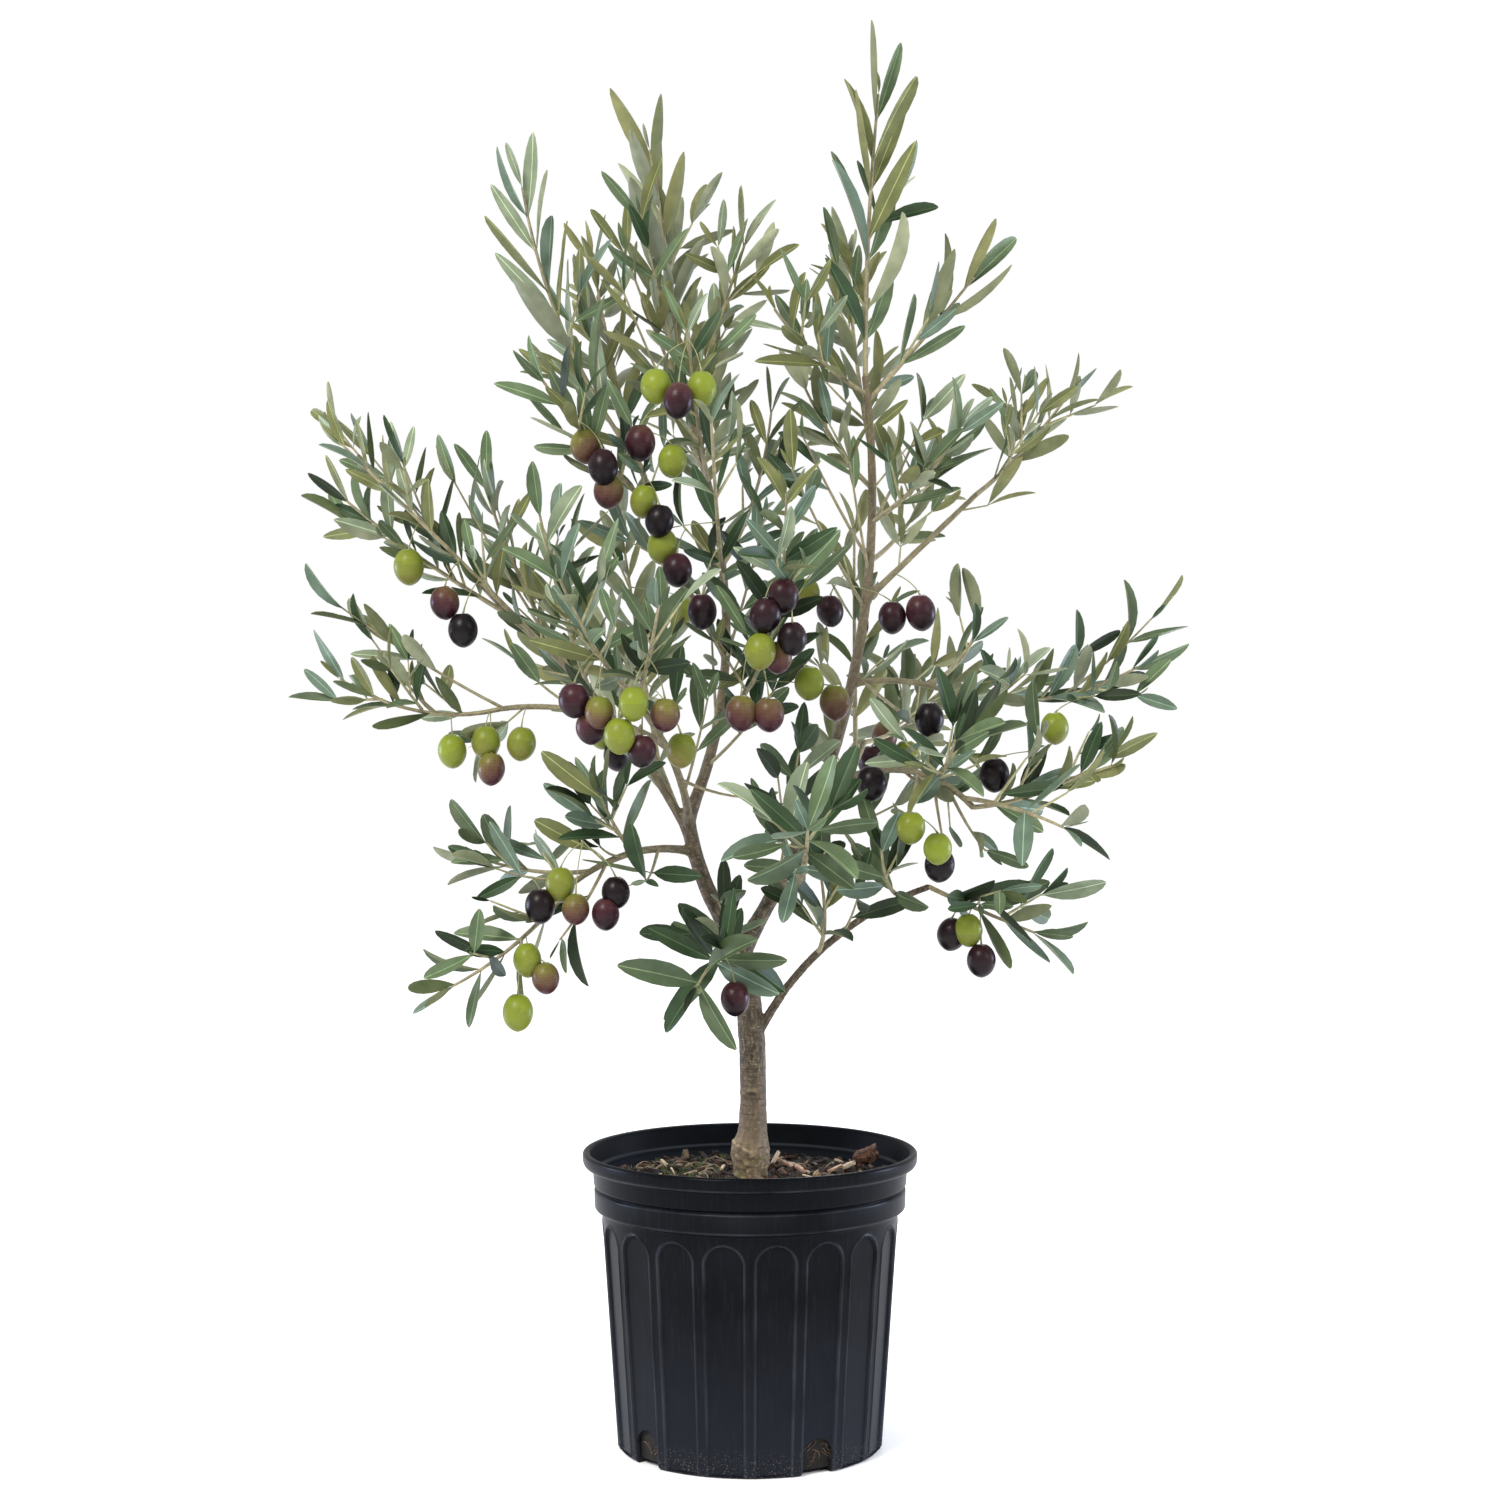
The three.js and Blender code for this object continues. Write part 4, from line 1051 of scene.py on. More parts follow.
def make_soil():
    top_radius = BAND_RADIUS - WALL - 2 * GAP
    steps = 52
    profile = [(0, WALL + GAP), (BASE_RADIUS - WALL - 1, WALL + GAP)]
    profile += [(body_radius(z) - WALL - 1, z) for z in range(8, 32, 3)]
    profile += [(BODY_TOP_RADIUS - WALL - 1, BAND_FOOT - TAPER_STEP), (top_radius, BAND_FOOT + 1)]
    profile += [(top_radius, SOIL_TOP - SOIL_FALL - 3)]
    profile += [(top_radius * (1 - i / steps), SOIL_TOP) for i in range(1, steps + 1)]
    soil = spun("root_ball", profile, 300)
    points = coordinates(soil) / MM
    for i, (x, y, z) in enumerate(points):
        if z > SOIL_TOP - 0.01:
            points[i, 2] = soil_height(x, y)
        elif 4.5 < z < 40:
            points[i, :2] *= 1 - 0.012 * (0.5 + 0.5 * noise.noise(Vector((x / 5, y / 5, z / 5))))
    move_points(soil, points * MM)
    hand_over(finished(soil, 60, potting_soil()), "soil", "soil")


def chip_template(seed):
    """A splinter of bark a unit long: a flat block, cut, bevelled and knocked about"""
    chip = block("bark_chip", (1, 0.5, 0.22), cuts=1, bevel=0.03)
    stray = np.random.default_rng(seed)
    points = coordinates(chip)
    points += stray.uniform(-0.055, 0.055, points.shape) * [1, 0.8, 0.5]
    points[:, 1] *= 1 - 0.5 * np.abs(points[:, 0])
    move_points(chip, points)
    return read_template(chip)


def straw_template():
    """A sliver of wood a unit long, slightly bowed"""
    straw = block("straw", (1, 0.075, 0.045))
    apply_modifier(straw, "SUBSURF", levels=2, render_levels=2, subdivision_type="SIMPLE")
    points = coordinates(straw)
    points[:, 2] += 0.1 * (0.25 - points[:, 0] ** 2)
    points[:, 1] *= 1 - 1.2 * points[:, 0] ** 2
    move_points(straw, points)
    return read_template(straw)


def moss_template():
    """A tuft of seven short green blades, a unit tall"""
    tuft = []
    for i in range(7):
        bpy.ops.mesh.primitive_cone_add(vertices=3, radius1=0.07, radius2=0.0, depth=1)
        blade = named("moss_blade")
        points = coordinates(blade)
        points[:, 2] += 0.5
        lean = points[:, 2] ** 2 * (0.25 + 0.1 * (i % 3))
        angle = math.tau * i / 7 + 0.4
        points[:, 0] += lean * math.cos(angle) + 0.12 * math.cos(angle)
        points[:, 1] += lean * math.sin(angle) + 0.12 * math.sin(angle)
        points[:, 2] *= 0.75 + 0.08 * (i % 4)
        move_points(blade, points)
        tuft.append(blade)
    for blade in tuft:
        blade.select_set(True)
    bpy.context.view_layer.objects.active = tuft[0]
    bpy.ops.object.join()
    return read_template(tuft[0])


def scattered(rng, count, reach, keep_off=KEEP_OFF_TRUNK):
    """Places spread over the soil, clear of the trunk"""
    places = []
    while len(places) < count:
        x, y = rng.uniform(-reach, reach, 2)
        if keep_off < math.hypot(x, y) < reach:
            places.append((x, y, soil_height(x, y)))
    return places


def make_chips():
    """Bark mulch: rough splinters without shine, from damp and near black to dry and pale"""
    tones = [
        ("bark_dark", "#0d0806", "#1e140e"),
        ("bark_brown", "#1f150f", "#38281d"),
        ("bark_red", "#341e14", "#523324"),
        ("bark_dry", "#54473a", "#7d6c58"),
    ]
    rng = np.random.default_rng(11)
    batches = []
    for seed in range(4):
        places = scattered(rng, CHIPS_PER_SHAPE, CHIP_REACH)
        lengths = rng.uniform(*CHIP_LENGTHS, len(places)) * rng.choice([1, 1, 1.8], len(places))
        lengths = np.minimum(lengths, [2 * (124 - math.hypot(x, y)) + 3 for x, y, _ in places])
        shapes = [(1, rng.uniform(0.7, 1.3), rng.uniform(0.6, 1.4)) for _ in places]
        frames = strewn(rng, np.array(shapes) * lengths[:, None], 0.4)
        lifted = [(x, y, z + 0.08 * length) for (x, y, z), length in zip(places, lengths)]
        slots = rng.choice(4, len(places), p=[0.4, 0.28, 0.2, 0.12])
        batches.append((chip_template(seed), frames, lifted, slots))
    hand_over(joined("bark_chips", batches, [plain_grain(*tone, 3, 0.9, 0.4) for tone in tones]), "soil")


def make_straw():
    """Straw and slivers of wood: dry and matt, pale against the soil"""
    tones = [
        ("straw_pale", "#b8a184", "#d8c6ab"),
        ("straw_tan", "#8b7156", "#ac9273"),
        ("wood_brown", "#5a4434", "#785e49"),
    ]
    rng = np.random.default_rng(23)
    places = scattered(rng, STRAW_COUNT, STRAW_REACH)
    lengths = rng.uniform(*STRAW_LENGTHS, STRAW_COUNT)
    sizes = [(length, 20 * rng.uniform(0.6, 1.5), 20 * rng.uniform(0.8, 1.4)) for length in lengths]
    frames = strewn(rng, sizes, 0.35)
    lifted = [(x, y, z + 2.2) for x, y, z in places]
    batch = (straw_template(), frames, lifted, rng.integers(0, 3, STRAW_COUNT))
    hand_over(joined("straw_slivers", [batch], [plain_grain(*tone, 4, 0.8, 0.1) for tone in tones]), "soil")


def make_moss():
    """Moss at the left of the trunk: soft, dull and deep green, in a darker and a lighter tone"""
    tones = [("moss_dark", "#24311b", "#3a482a"), ("moss_light", "#475433", "#626f43")]
    rng = np.random.default_rng(31)
    places = []
    for _ in range(MOSS_COUNT):
        x, y = (rng.normal(middle, spread) for middle, spread in zip(MOSS_MIDDLE, MOSS_SPREAD))
        if MOSS_REACH[0] < math.hypot(x, y) < MOSS_REACH[1]:
            places.append((x, y, soil_height(x, y) - 0.5))
    sizes = [(size, size, size) for size in rng.uniform(*MOSS_HEIGHTS, len(places))]
    frames = strewn(rng, sizes, 0.3)
    batch = (moss_template(), frames, places, rng.integers(0, 2, len(places)))
    hand_over(joined("moss_tufts", [batch], [plain_grain(*tone, 4, 0.9, 0.1) for tone in tones]), "soil")


def make_litter():
    """Chips of fresh wood, pale, pinkish or brown and matt, that lie where the photograph shows them"""
    tones = [
        plain_grain("litter_pale", "#b09a80", "#dccbb2", 5, 0.85, 0.3),
        plain_grain("litter_pink", "#a07c68", "#cdb09a", 5, 0.85, 0.3),
        plain_grain("litter_brown", "#4a3326", "#6f5240", 5, 0.85, 0.4),
    ]
    places = [(x, y, soil_height(x, y) + rise) for x, y, rise, *_ in LITTER]
    lengths, turns, tilts, slots = zip(*[row[3:] for row in LITTER])
    sizes = [(length, length * 0.55, length * 0.8) for length in lengths]
    frames = turned_frames(np.radians(turns), np.radians(tilts), sizes)
    hand_over(joined("wood_litter", [(chip_template(9), frames, places, slots)], tones), "soil")


def make_dry_stems():
    """Thin dry stems that arch over the soil, straw-brown and matt"""
    rng = np.random.default_rng(37)
    lines = []
    spread = [(x, y) for x, y, _ in scattered(rng, DRY_STEM_COUNT, DRY_STEM_REACH, 24)]
    for x, y in DRY_STEMS + spread:
        length, heading, rise = rng.uniform(*DRY_STEM_LENGTHS), rng.uniform(-1.2, 1.2), rng.uniform(2, 8)
        points = []
        for share in np.linspace(0, 1, 8):
            px = x + (share - 0.5) * length * math.cos(heading)
            py = y + (share - 0.5) * length * math.sin(heading)
            points.append((px, py, soil_height(px, py) + 0.6 + rise * math.sin(math.pi * share) ** 0.8))
            heading += rng.normal(0, 0.1)
        radius = rng.uniform(0.35, 0.65)
        lines.append((points, np.linspace(radius, radius * 0.6, 8)))
    make_tubes("dry_stems", lines, plain_grain("dry_stem", "#7b6b53", "#ab9b7c", 4, 0.8, 0.1), "soil")


def make_bark_lump():
    """The large piece of bark that lies towards the right: rough, flaking, reddish brown and matt"""
    lump = block("bark_lump", np.array(LUMP_SIZE) * MM, cuts=11)
    points = coordinates(lump)
    reach = np.linalg.norm(points / (np.array(LUMP_SIZE) * MM / 2), axis=1)
    points *= (1 / np.maximum(reach, 1) ** 0.3)[:, None]
    for i, point in enumerate(points):
        wave = noise.fractal(Vector(point / MM / 6), 1.0, 2.0, 3)
        flake = noise.noise(Vector(point / MM / 1.8))
        points[i] *= 1 + 0.3 * wave + 0.16 * flake
    tilted = points @ turned_frames([0], [LUMP_TILT], [(1, 1, 1)])[0]
    move_points(lump, tilted + np.array(LUMP_PLACE) * MM)
    hand_over(finished(lump, 50, plain_grain("bark_lump", "#1a0f0a", "#6f4c38", 2.6, 0.9, 1.0)), "soil")


# Tubes along curves

def tube_curve(name, lines, bevel_resolution=1):
    """A mesh of round tubes: each line is a list of points and a list of radii, in millimetres"""
    data = bpy.data.curves.new(name, "CURVE")
    data.dimensions = "3D"
    data.bevel_depth = MM
    data.bevel_resolution = bevel_resolution
    data.use_fill_caps = True
    for points, radii in lines:
        spline = data.splines.new("POLY")
        spline.points.add(len(points) - 1)
        places = np.column_stack([np.array(points) * MM, np.ones(len(points))])
        spline.points.foreach_set("co", places.ravel())
        spline.points.foreach_set("radius", np.array(radii, float))
    new_object(name, data)
    bpy.ops.object.convert(target="MESH")
    return named(name)


def make_tubes(name, lines, material, slot, *nodes):
    """A piece of thin tubes, smoothed, with its material, on the body"""
    hand_over(finished(tube_curve(name, lines), 60, material), slot, *nodes)


# The growth rule of the part's source

def seeded(seed):
    """Repeatable random numbers from 0 to 1, the source's own"""
    state = seed

    def draw():
        nonlocal state
        state = (state * 48271) % 2147483647
        return state / 2147483647
    return draw


def unit(vector):
    return vector / np.linalg.norm(vector)


def mix(pair, share):
    return pair[0] + (pair[1] - pair[0]) * share


def bowed(start, tip, bow=(0, 0, 0)):
    """A curve from start to tip, bowed at its middle: its three control points"""
    start, tip, bow = (np.array(v, float) for v in (start, tip, bow))
    return np.array([start, (start + tip) / 2 + 2 * bow, tip])


def point_on(curve, share):
    a, b, c = curve
    return (1 - share) ** 2 * a + 2 * share * (1 - share) * b + share ** 2 * c


def tangent_on(curve, share):
    a, b, c = curve
    return unit((1 - share) * (b - a) + share * (c - b))


def samples(curve, count):
    return np.array([point_on(curve, i / count) for i in range(count + 1)])


def across(curve, tangent):
    """Two directions across a curve, the same way round all along it"""
    chord = unit(curve[2] - curve[0])
    reference = np.array([0.0, 1.0, 0.0]) if abs(chord[2]) > 0.9 else UP
    side = unit(np.cross(tangent, reference))
    return side, unit(np.cross(side, tangent))


def start_on(curve, at):
    """Start of a limb or stem: inside its parent, just behind the tip or on the axis"""
    start = point_on(curve, at)
    return start - tangent_on(curve, 1) if at == 1 else start


def axis_point(curve, steps, share):
    """Point on the axis of a tube built in straight steps along a curve"""
    step = min(int(share * steps), steps - 1)
    start = point_on(curve, step / steps)
    return start + (point_on(curve, (step + 1) / steps) - start) * (share * steps - step)


def grow_limbs():
    """The trunk and boughs: each a curve and its radii at root and tip"""
    start = [0, 0, SOIL_TOP - GAP]
    limbs = {"trunk": {"curve": bowed(start, TRUNK_TOP, TRUNK_BOW), "radii": None, "bare": 1}}
    for name, parent, at, tip, bow, radii, bare in BOUGHS:
        curve = bowed(start_on(limbs[parent]["curve"], at), tip, bow)
        limbs[name] = {"curve": curve, "radii": radii, "bare": bare}
    return limbs


def limb_radius(limb, share):
    if limb["radii"] is None:
        return float(np.interp(share, *zip(*TRUNK_RADII)))
    return mix(limb["radii"], share)


def distances(points, starts, ends):
    """Distance from each point to each straight segment"""
    along = ends - starts
    to_point = points[:, None] - starts[None]
    share = np.clip((to_point * along).sum(-1) / np.maximum((along * along).sum(-1), 1e-9), 0, 1)
    return np.linalg.norm(to_point - share[..., None] * along, axis=-1)


def path_distances(points, paths):
    """Distance from each point to each straight stretch of some paths"""
    return distances(points, paths[:, :-1].reshape(-1, 3), paths[:, 1:].reshape(-1, 3))


limbs = grow_limbs()
stems = [bowed(start_on(limbs[row[1]]["curve"], row[2]), row[3], row[4]) for row in MASSES]
stem_paths = np.array([samples(stem, STEM_STRETCHES) for stem in stems])
limb_paths = np.array([samples(limb["curve"], LIMB_STRETCHES) for limb in limbs.values()])
limb_girths = np.repeat([limb_radius(limb, 0) for limb in limbs.values()], LIMB_STRETCHES)
olive_places = np.array([place for place, _ in OLIVES], float)


def stem_distances(points):
    """Distance from each point to each mass's stem"""
    return path_distances(points, stem_paths).reshape(len(points), len(MASSES), STEM_STRETCHES).min(-1)


def limb_clearance(points):
    """Distance from each point to the nearest limb's widest bark"""
    return (path_distances(points, limb_paths) - limb_girths).min(-1)


def fits(points, index, margin, limb_room=LIMB_ROOM):
    """Whether all points keep to a mass's own space, off the limbs and above the pot"""
    if points[:, 2].min() <= POT_HEIGHT + POT_ROOM or limb_clearance(points).min() <= limb_room:
        return False
    reach = stem_distances(points)
    own = reach[:, index].copy()
    reach[:, index] = np.inf
    return bool((reach.min(-1) > own + margin).all())


def offshoot(curve, share, turn, opening, lift):
    """Direction that leaves a curve at an opening angle, turned round it and lifted to the light"""
    tangent = tangent_on(curve, share)
    side, top = across(curve, tangent)
    outward = side * math.cos(turn) + top * math.sin(turn)
    return unit(tangent * math.cos(opening) + outward * math.sin(opening) + UP * lift)


def twig(curve, steps, radii, size, leaf_step, bare, opening=LEAF_OPENING):
    """A shoot: its curve, the straight steps it is drawn in, and how its leaves stand"""
    return {
        "curve": curve,
        "steps": steps,
        "radii": radii,
        "size": size,
        "step": leaf_step,
        "bare": bare,
        "opening": opening,
        "leader": leaf_step == LEADER_LEAF_STEP,
    }


def source_shoots(row, stem, index):
    """The side shoots that the source grows, by the same draws"""
    draw = seeded(1000 + 37 * index)
    count, reach = row[5], row[6]
    shoots = []
    first_turn = draw() * math.tau
    for i in range(count):
        at = mix((FIRST_SHOOT, LAST_SHOOT), (i + 0.5) / count)
        start = axis_point(stem, 3, at)
        length = reach * (1 - SHOOT_TAPER * at) * (0.75 + 0.25 * draw())
        for attempt in range(SHOOT_TRIES):
            turn = first_turn + math.radians(SHOOT_TURN * i + SHOOT_RETRY * attempt)
            direction = offshoot(stem, at, turn, math.radians(SHOOT_OPENING), SHOOT_LIFT)
            curve = bowed(start, start + direction * length)
            if fits(samples(curve, 4)[1:], index, SPACE_MARGIN):
                shoots.append((at, curve))
                break
    return shoots


def try_shoot(parent, at, turn, length, index, draw):
    """A finer shoot that keeps to the mass's space, or none"""
    start = point_on(parent, at)
    for attempt in range(SHOOT_TRIES):
        spread = turn + math.radians(SHOOT_RETRY * attempt)
        angle = math.radians(SHOOT_OPENING + 16 * (draw() - 0.5))
        direction = offshoot(parent, at, spread, angle, SHOOT_LIFT)
        reach = length * (1 - 0.14 * attempt)
        sag = np.array([0, 0, -TWIG_BOW * reach * (1 - abs(direction[2]))])
        curve = bowed(start, start + direction * reach, sag)
        if fits(samples(curve, 4)[1:], index, LOOSE_MARGIN, 0.6):
            return curve
    return None


def grow_twigs(row, index):
    """Stem, the source's shoots, finer shoots between them, and twigs on the longer shoots"""
    name, reach, size = row[0], row[6], row[7]
    shoot_size = min(size, 60)
    draw = seeded(5000 + 91 * index)
    stem = stems[index]
    length = np.linalg.norm(stem[2] - stem[0])
    main = source_shoots(row, stem, index)
    step = SPARSE_LEAF_STEP if name in SPARSE else LEAF_STEP
    extra = 0 if name in SPARSE else round(length / EXTRA_STEP) + 2 * (name in LAVISH)
    grown = [twig(stem, 10, STEM_RADII, size, step, 0.14)]
    if name in LEADERS:
        extra = 0
        main = [shoot for shoot in main if shoot[0] < LEADER_SHOOTS_TO]
        grown = [twig(stem, 10, STEM_RADII, size, LEADER_LEAF_STEP, 0.1, LEADER_LEAF_OPENING)]
    taken = [at for at, _ in main]
    side = [curve for _, curve in main]
    turn = draw() * math.tau
    for i in range(extra):
        at = mix((0.14, 0.8), (i + draw()) / extra)
        turn += math.radians(SHOOT_TURN)
        if min([abs(at - other) for other in taken] + [1]) * length < SHOOT_ROOM:
            continue
        curve = try_shoot(stem, at, turn, reach * (1 - 0.5 * at) * mix((0.5, 0.95), draw()), index, draw)
        if curve is not None:
            side.append(curve)
    for curve in side:
        grown.append(twig(curve, 5, SHOOT_RADII, shoot_size * SHOOT_LEAF_SHARE, step, 0.16))
        if np.linalg.norm(curve[2] - curve[0]) > FINE_FROM:
            at, turn, fine_length = mix((0.3, 0.5), draw()), draw() * math.tau, mix(FINE_LENGTH, draw())
            fine = try_shoot(curve, at, turn, fine_length, index, draw)
            if fine is not None:
                grown.append(twig(fine, 3, FINE_RADII, shoot_size * FINE_LEAF_SHARE, LEAF_STEP, 0.3))
    return grown


def nearest_mass(point):
    return int(stem_distances(np.array([point], float))[0].argmin())


def grow_spurs():
    """Short leafy shoots straight on the boughs, past the stretch that each keeps bare"""
    spurs = []
    for order, limb in enumerate(limbs.values()):
        if limb["bare"] >= 1:
            continue
        draw = seeded(700 + 53 * order)
        curve = limb["curve"]
        length = np.linalg.norm(curve[2] - curve[0])
        count = int(length * (1 - limb["bare"]) / SPUR_STEP)
        turn = draw() * math.tau
        for i in range(count):
            at = mix((limb["bare"], 0.97), (i + 0.3 + 0.4 * draw()) / count)
            turn += math.radians(SHOOT_TURN)
            index = nearest_mass(point_on(curve, at) + 20 * offshoot(curve, at, turn, 1.0, 0.3))
            spur = try_spur(curve, at, turn, mix(SPUR_LENGTH, draw()))
            if spur is not None:
                spurs.append((index, twig(spur, 4, FINE_RADII, SPUR_LEAF_LENGTH, LEAF_STEP, 0.25)))
    return spurs


def try_spur(parent, at, turn, length):
    """A short shoot from a bough, clear of every other limb"""
    start = point_on(parent, at)
    for attempt in range(SHOOT_TRIES):
        direction = offshoot(parent, at, turn + attempt, math.radians(52), 0.3)
        curve = bowed(start, start + direction * length)
        outer = samples(curve, 4)[2:]
        if limb_clearance(outer).min() > 1.5 and outer[:, 2].min() > POT_HEIGHT + POT_ROOM:
            return curve
    return None


# Leaves by the rule

def blade_face(root, tangent, stray, draw):
    """The way a blade's upper side looks: outwards, to the near side, up and along, with some stray"""
    out = np.array([root[0], root[1], 0.0])
    out *= FACE_OUT / max(np.linalg.norm(out), CROWN_CORE)
    out[1] += math.copysign(FACE_FRONT, root[1] - 25)
    loose = np.array([draw() - 0.5 for _ in range(3)])
    return out + UP * FACE_UP + tangent * FACE_ALONG + loose * stray


class Foliage:
    """The leaves placed so far: midribs to keep clear of, and what each leaf's copy needs"""

    def __init__(self):
        self.starts = np.zeros((MOST_LEAVES, 3))
        self.tips = np.zeros((MOST_LEAVES, 3))
        self.count = 0
        self.leaves = []

    def clear(self, probes):
        if self.count == 0:
            return True
        gaps = distances(probes, self.starts[:self.count], self.tips[:self.count])
        return bool(gaps.min() > LEAF_ROOM)

    def keep(self, leaf):
        root, direction, length = leaf["root"], leaf["direction"], leaf["length"]
        self.starts[self.count] = root + direction * length * 0.25
        self.tips[self.count] = root + direction * length
        self.count += 1
        self.leaves.append(leaf)


def clear_of_olives(probes):
    """Whether leaf points keep off the fruit, and out of the way in front of it"""
    front = olive_places + np.array([0, -110, 4])
    return bool(distances(probes, olive_places, front).min() > OLIVE_RADIUS + 0.5)


def crown_share(point):
    """How high a point is in the crown, from its low boughs to where growth turns upright"""
    return (point[2] - LOW_CROWN[0]) / (LOW_CROWN[1] - LOW_CROWN[0])


def try_leaf(parent, share, turn, opening, length, index, draw, foliage, spray):
    """A leaf at a share of a twig, where one of a few tries keeps clear of all else"""
    curve = parent["curve"]
    tangent = tangent_on(curve, share)
    root = axis_point(curve, parent["steps"], share)
    calm = LEADER_CALM if parent["leader"] else 1
    lift = mix(LEAF_LIFT, 1 - abs(tangent[2])) * np.clip(crown_share(point_on(curve, share)), 0.15, 1)
    for attempt in range(LEAF_TRIES):
        spread = turn + (draw() - 0.5) * (0.5 + 0.6 * attempt) * calm
        size = length * (0.84 + 0.3 * draw()) * (1 - 0.1 * attempt)
        direction = offshoot(curve, share, spread, opening, lift)
        face = blade_face(root, tangent, FACE_STRAY * calm, draw)
        side = unit(np.cross(direction, face))
        half = side * size * 0.1
        first, belly, third, tip = (root + direction * size * part for part in (0.25, 0.5, 0.75, 1))
        probes = np.array([first, belly - half, belly + half, third, tip])
        if not fits(probes, index, LOOSE_MARGIN, 0.3):
            continue
        if clear_of_olives(probes) and foliage.clear(probes):
            foliage.keep({
                "root": root,
                "direction": direction,
                "side": side,
                "length": size,
                "spray": spray,
                "leader": parent["leader"],
                "draw": draw(),
            })
            return


def dress_twig(parent, index, draw, foliage, spray):
    """Leaf pairs up a twig, a quarter turn apart, a closing pair and a small new pair at its tip"""
    crown = (index, draw, foliage, spray)
    curve = parent["curve"]
    length = np.linalg.norm(curve[2] - curve[0])
    nodes = max(0, round(length * (1 - parent["bare"]) / parent["step"] - 0.3))
    first_turn = draw() * math.pi
    last, full = LAST_PAIR, parent["size"]
    if parent["leader"]:
        first_turn = math.pi / 4 + 0.5 * (draw() - 0.5)
        last, full = LEADER_LAST_PAIR, parent["size"] * LEADER_LEAF_GROWTH
    spread = FRONT_OPENING * abs(tangent_on(curve, 0.9)[1])
    for node in range(nodes):
        share = last - (nodes - node) * parent["step"] / length * (0.92 + 0.16 * draw())
        if share < parent["bare"] * 0.7:
            continue
        opening = math.radians(mix(parent["opening"], share) + spread * share)
        turn = first_turn + node * math.pi / 2
        size = full * (1 - 0.22 * abs(share - 0.45))
        try_leaf(parent, share, turn, opening, size, *crown)
        try_leaf(parent, share, turn + math.pi, opening, size, *crown)
    turn = first_turn + nodes * math.pi / 2
    opening = math.radians(TIP_OPENING + spread)
    bud = parent["size"] * BUD_SIZE * (0.7 + 0.6 * draw())
    for half_turn in (0, math.pi):
        try_leaf(parent, last, turn + half_turn, opening, full * 0.9, *crown)
        try_leaf(parent, 1, turn + math.pi / 2 + half_turn, opening * 0.6, bud, *crown)


def grow_sprays():
    """The sprays that have their own places"""
    carriers = {name: limb["curve"] for name, limb in limbs.items()}
    carriers.update({row[0]: stem for row, stem in zip(MASSES, stems)})
    sprays = []
    for parent, at, tip, size in SPRAYS:
        curve = bowed(point_on(carriers[parent], at), tip, [0, 0, -4])
        sprays.append((nearest_mass(tip), twig(curve, 6, SPRAY_RADII, size, LEAF_STEP, 0.4)))
    return sprays


def grow_crown():
    """All twigs and leaves of the crown"""
    foliage = Foliage()
    twigs = []
    for index, row in enumerate(MASSES):
        draw = seeded(9000 + 71 * index)
        for grown in grow_twigs(row, index):
            dress_twig(grown, index, draw, foliage, len(twigs))
            twigs.append(grown)
    for index, grown in grow_sprays() + grow_spurs():
        dress_twig(grown, index, seeded(300 + len(twigs)), foliage, len(twigs))
        twigs.append(grown)
    return twigs, foliage.leaves


# Bark of trunk and boughs

def limb_lines():
    """Each limb as points and radii: quick to taper at first, with a collar at its root"""
    lines = []
    for name, limb in limbs.items():
        curve = limb["curve"]
        steps = 40 if name == "trunk" else 18
        shares = np.linspace(0, 1, steps + 1)
        points = [point_on(curve, share) for share in shares]
        if name == "trunk":
            radii = np.interp(shares, *zip(*BARK_RADII))
        else:
            collar = 1 + COLLAR_SWELL * np.exp(-shares * np.linalg.norm(curve[2] - curve[0]) / COLLAR_REACH)
            radii = mix(limb["radii"], shares ** BOUGH_TAPER) * collar
        lines.append((points, radii))
    return lines


def grain_of(points):
    """Across, across and along the nearest limb, in metres, and the radius that tells its bark's age"""
    grain = np.zeros_like(points)
    girth = np.zeros(len(points))
    nearest = np.full(len(points), np.inf)
    for name, limb in limbs.items():
        path = samples(limb["curve"], 24)
        gaps = distances(points, path[:-1], path[1:])
        order = gaps.argmin(1)
        gap = gaps[np.arange(len(points)), order] / limb_radius(limb, 0.5)
        closer = gap < nearest
        nearest[closer] = gap[closer]
        tangents = np.diff(path, axis=0)
        lengths = np.linalg.norm(tangents, axis=1)
        tangents = tangents / lengths[:, None]
        side, top = across(limb["curve"], tangents[0])
        chosen = order[closer]
        offset = points[closer] - path[chosen]
        along = (offset * tangents[chosen]).sum(1) + np.concatenate([[0], np.cumsum(lengths)])[chosen]
        grain[closer] = np.column_stack([offset @ side, offset @ top, along])
        share = np.clip(along / lengths.sum(), 0, 1)
        girth[closer] = YOUNG_RADII[0] if name in BROWN_LIMBS else mix(limb["radii"], share ** BOUGH_TAPER)
    return grain * MM, girth


def knot_offset(point):
    """Where a point on the trunk's front is from the middle of the knot, in the knot's own size"""
    if point[1] >= 0:
        return 9, 9
    return (point[0] - KNOT_PLACE[0]) / KNOT_SIZE[0], (point[2] - KNOT_PLACE[1]) / KNOT_SIZE[1]


def graft_line(point):
    """How far a point is above the graft's ridge, which dips to a V in front, in millimetres"""
    return point[2] - GRAFT_HEIGHT - GRAFT_SLOPE * abs(point[0])


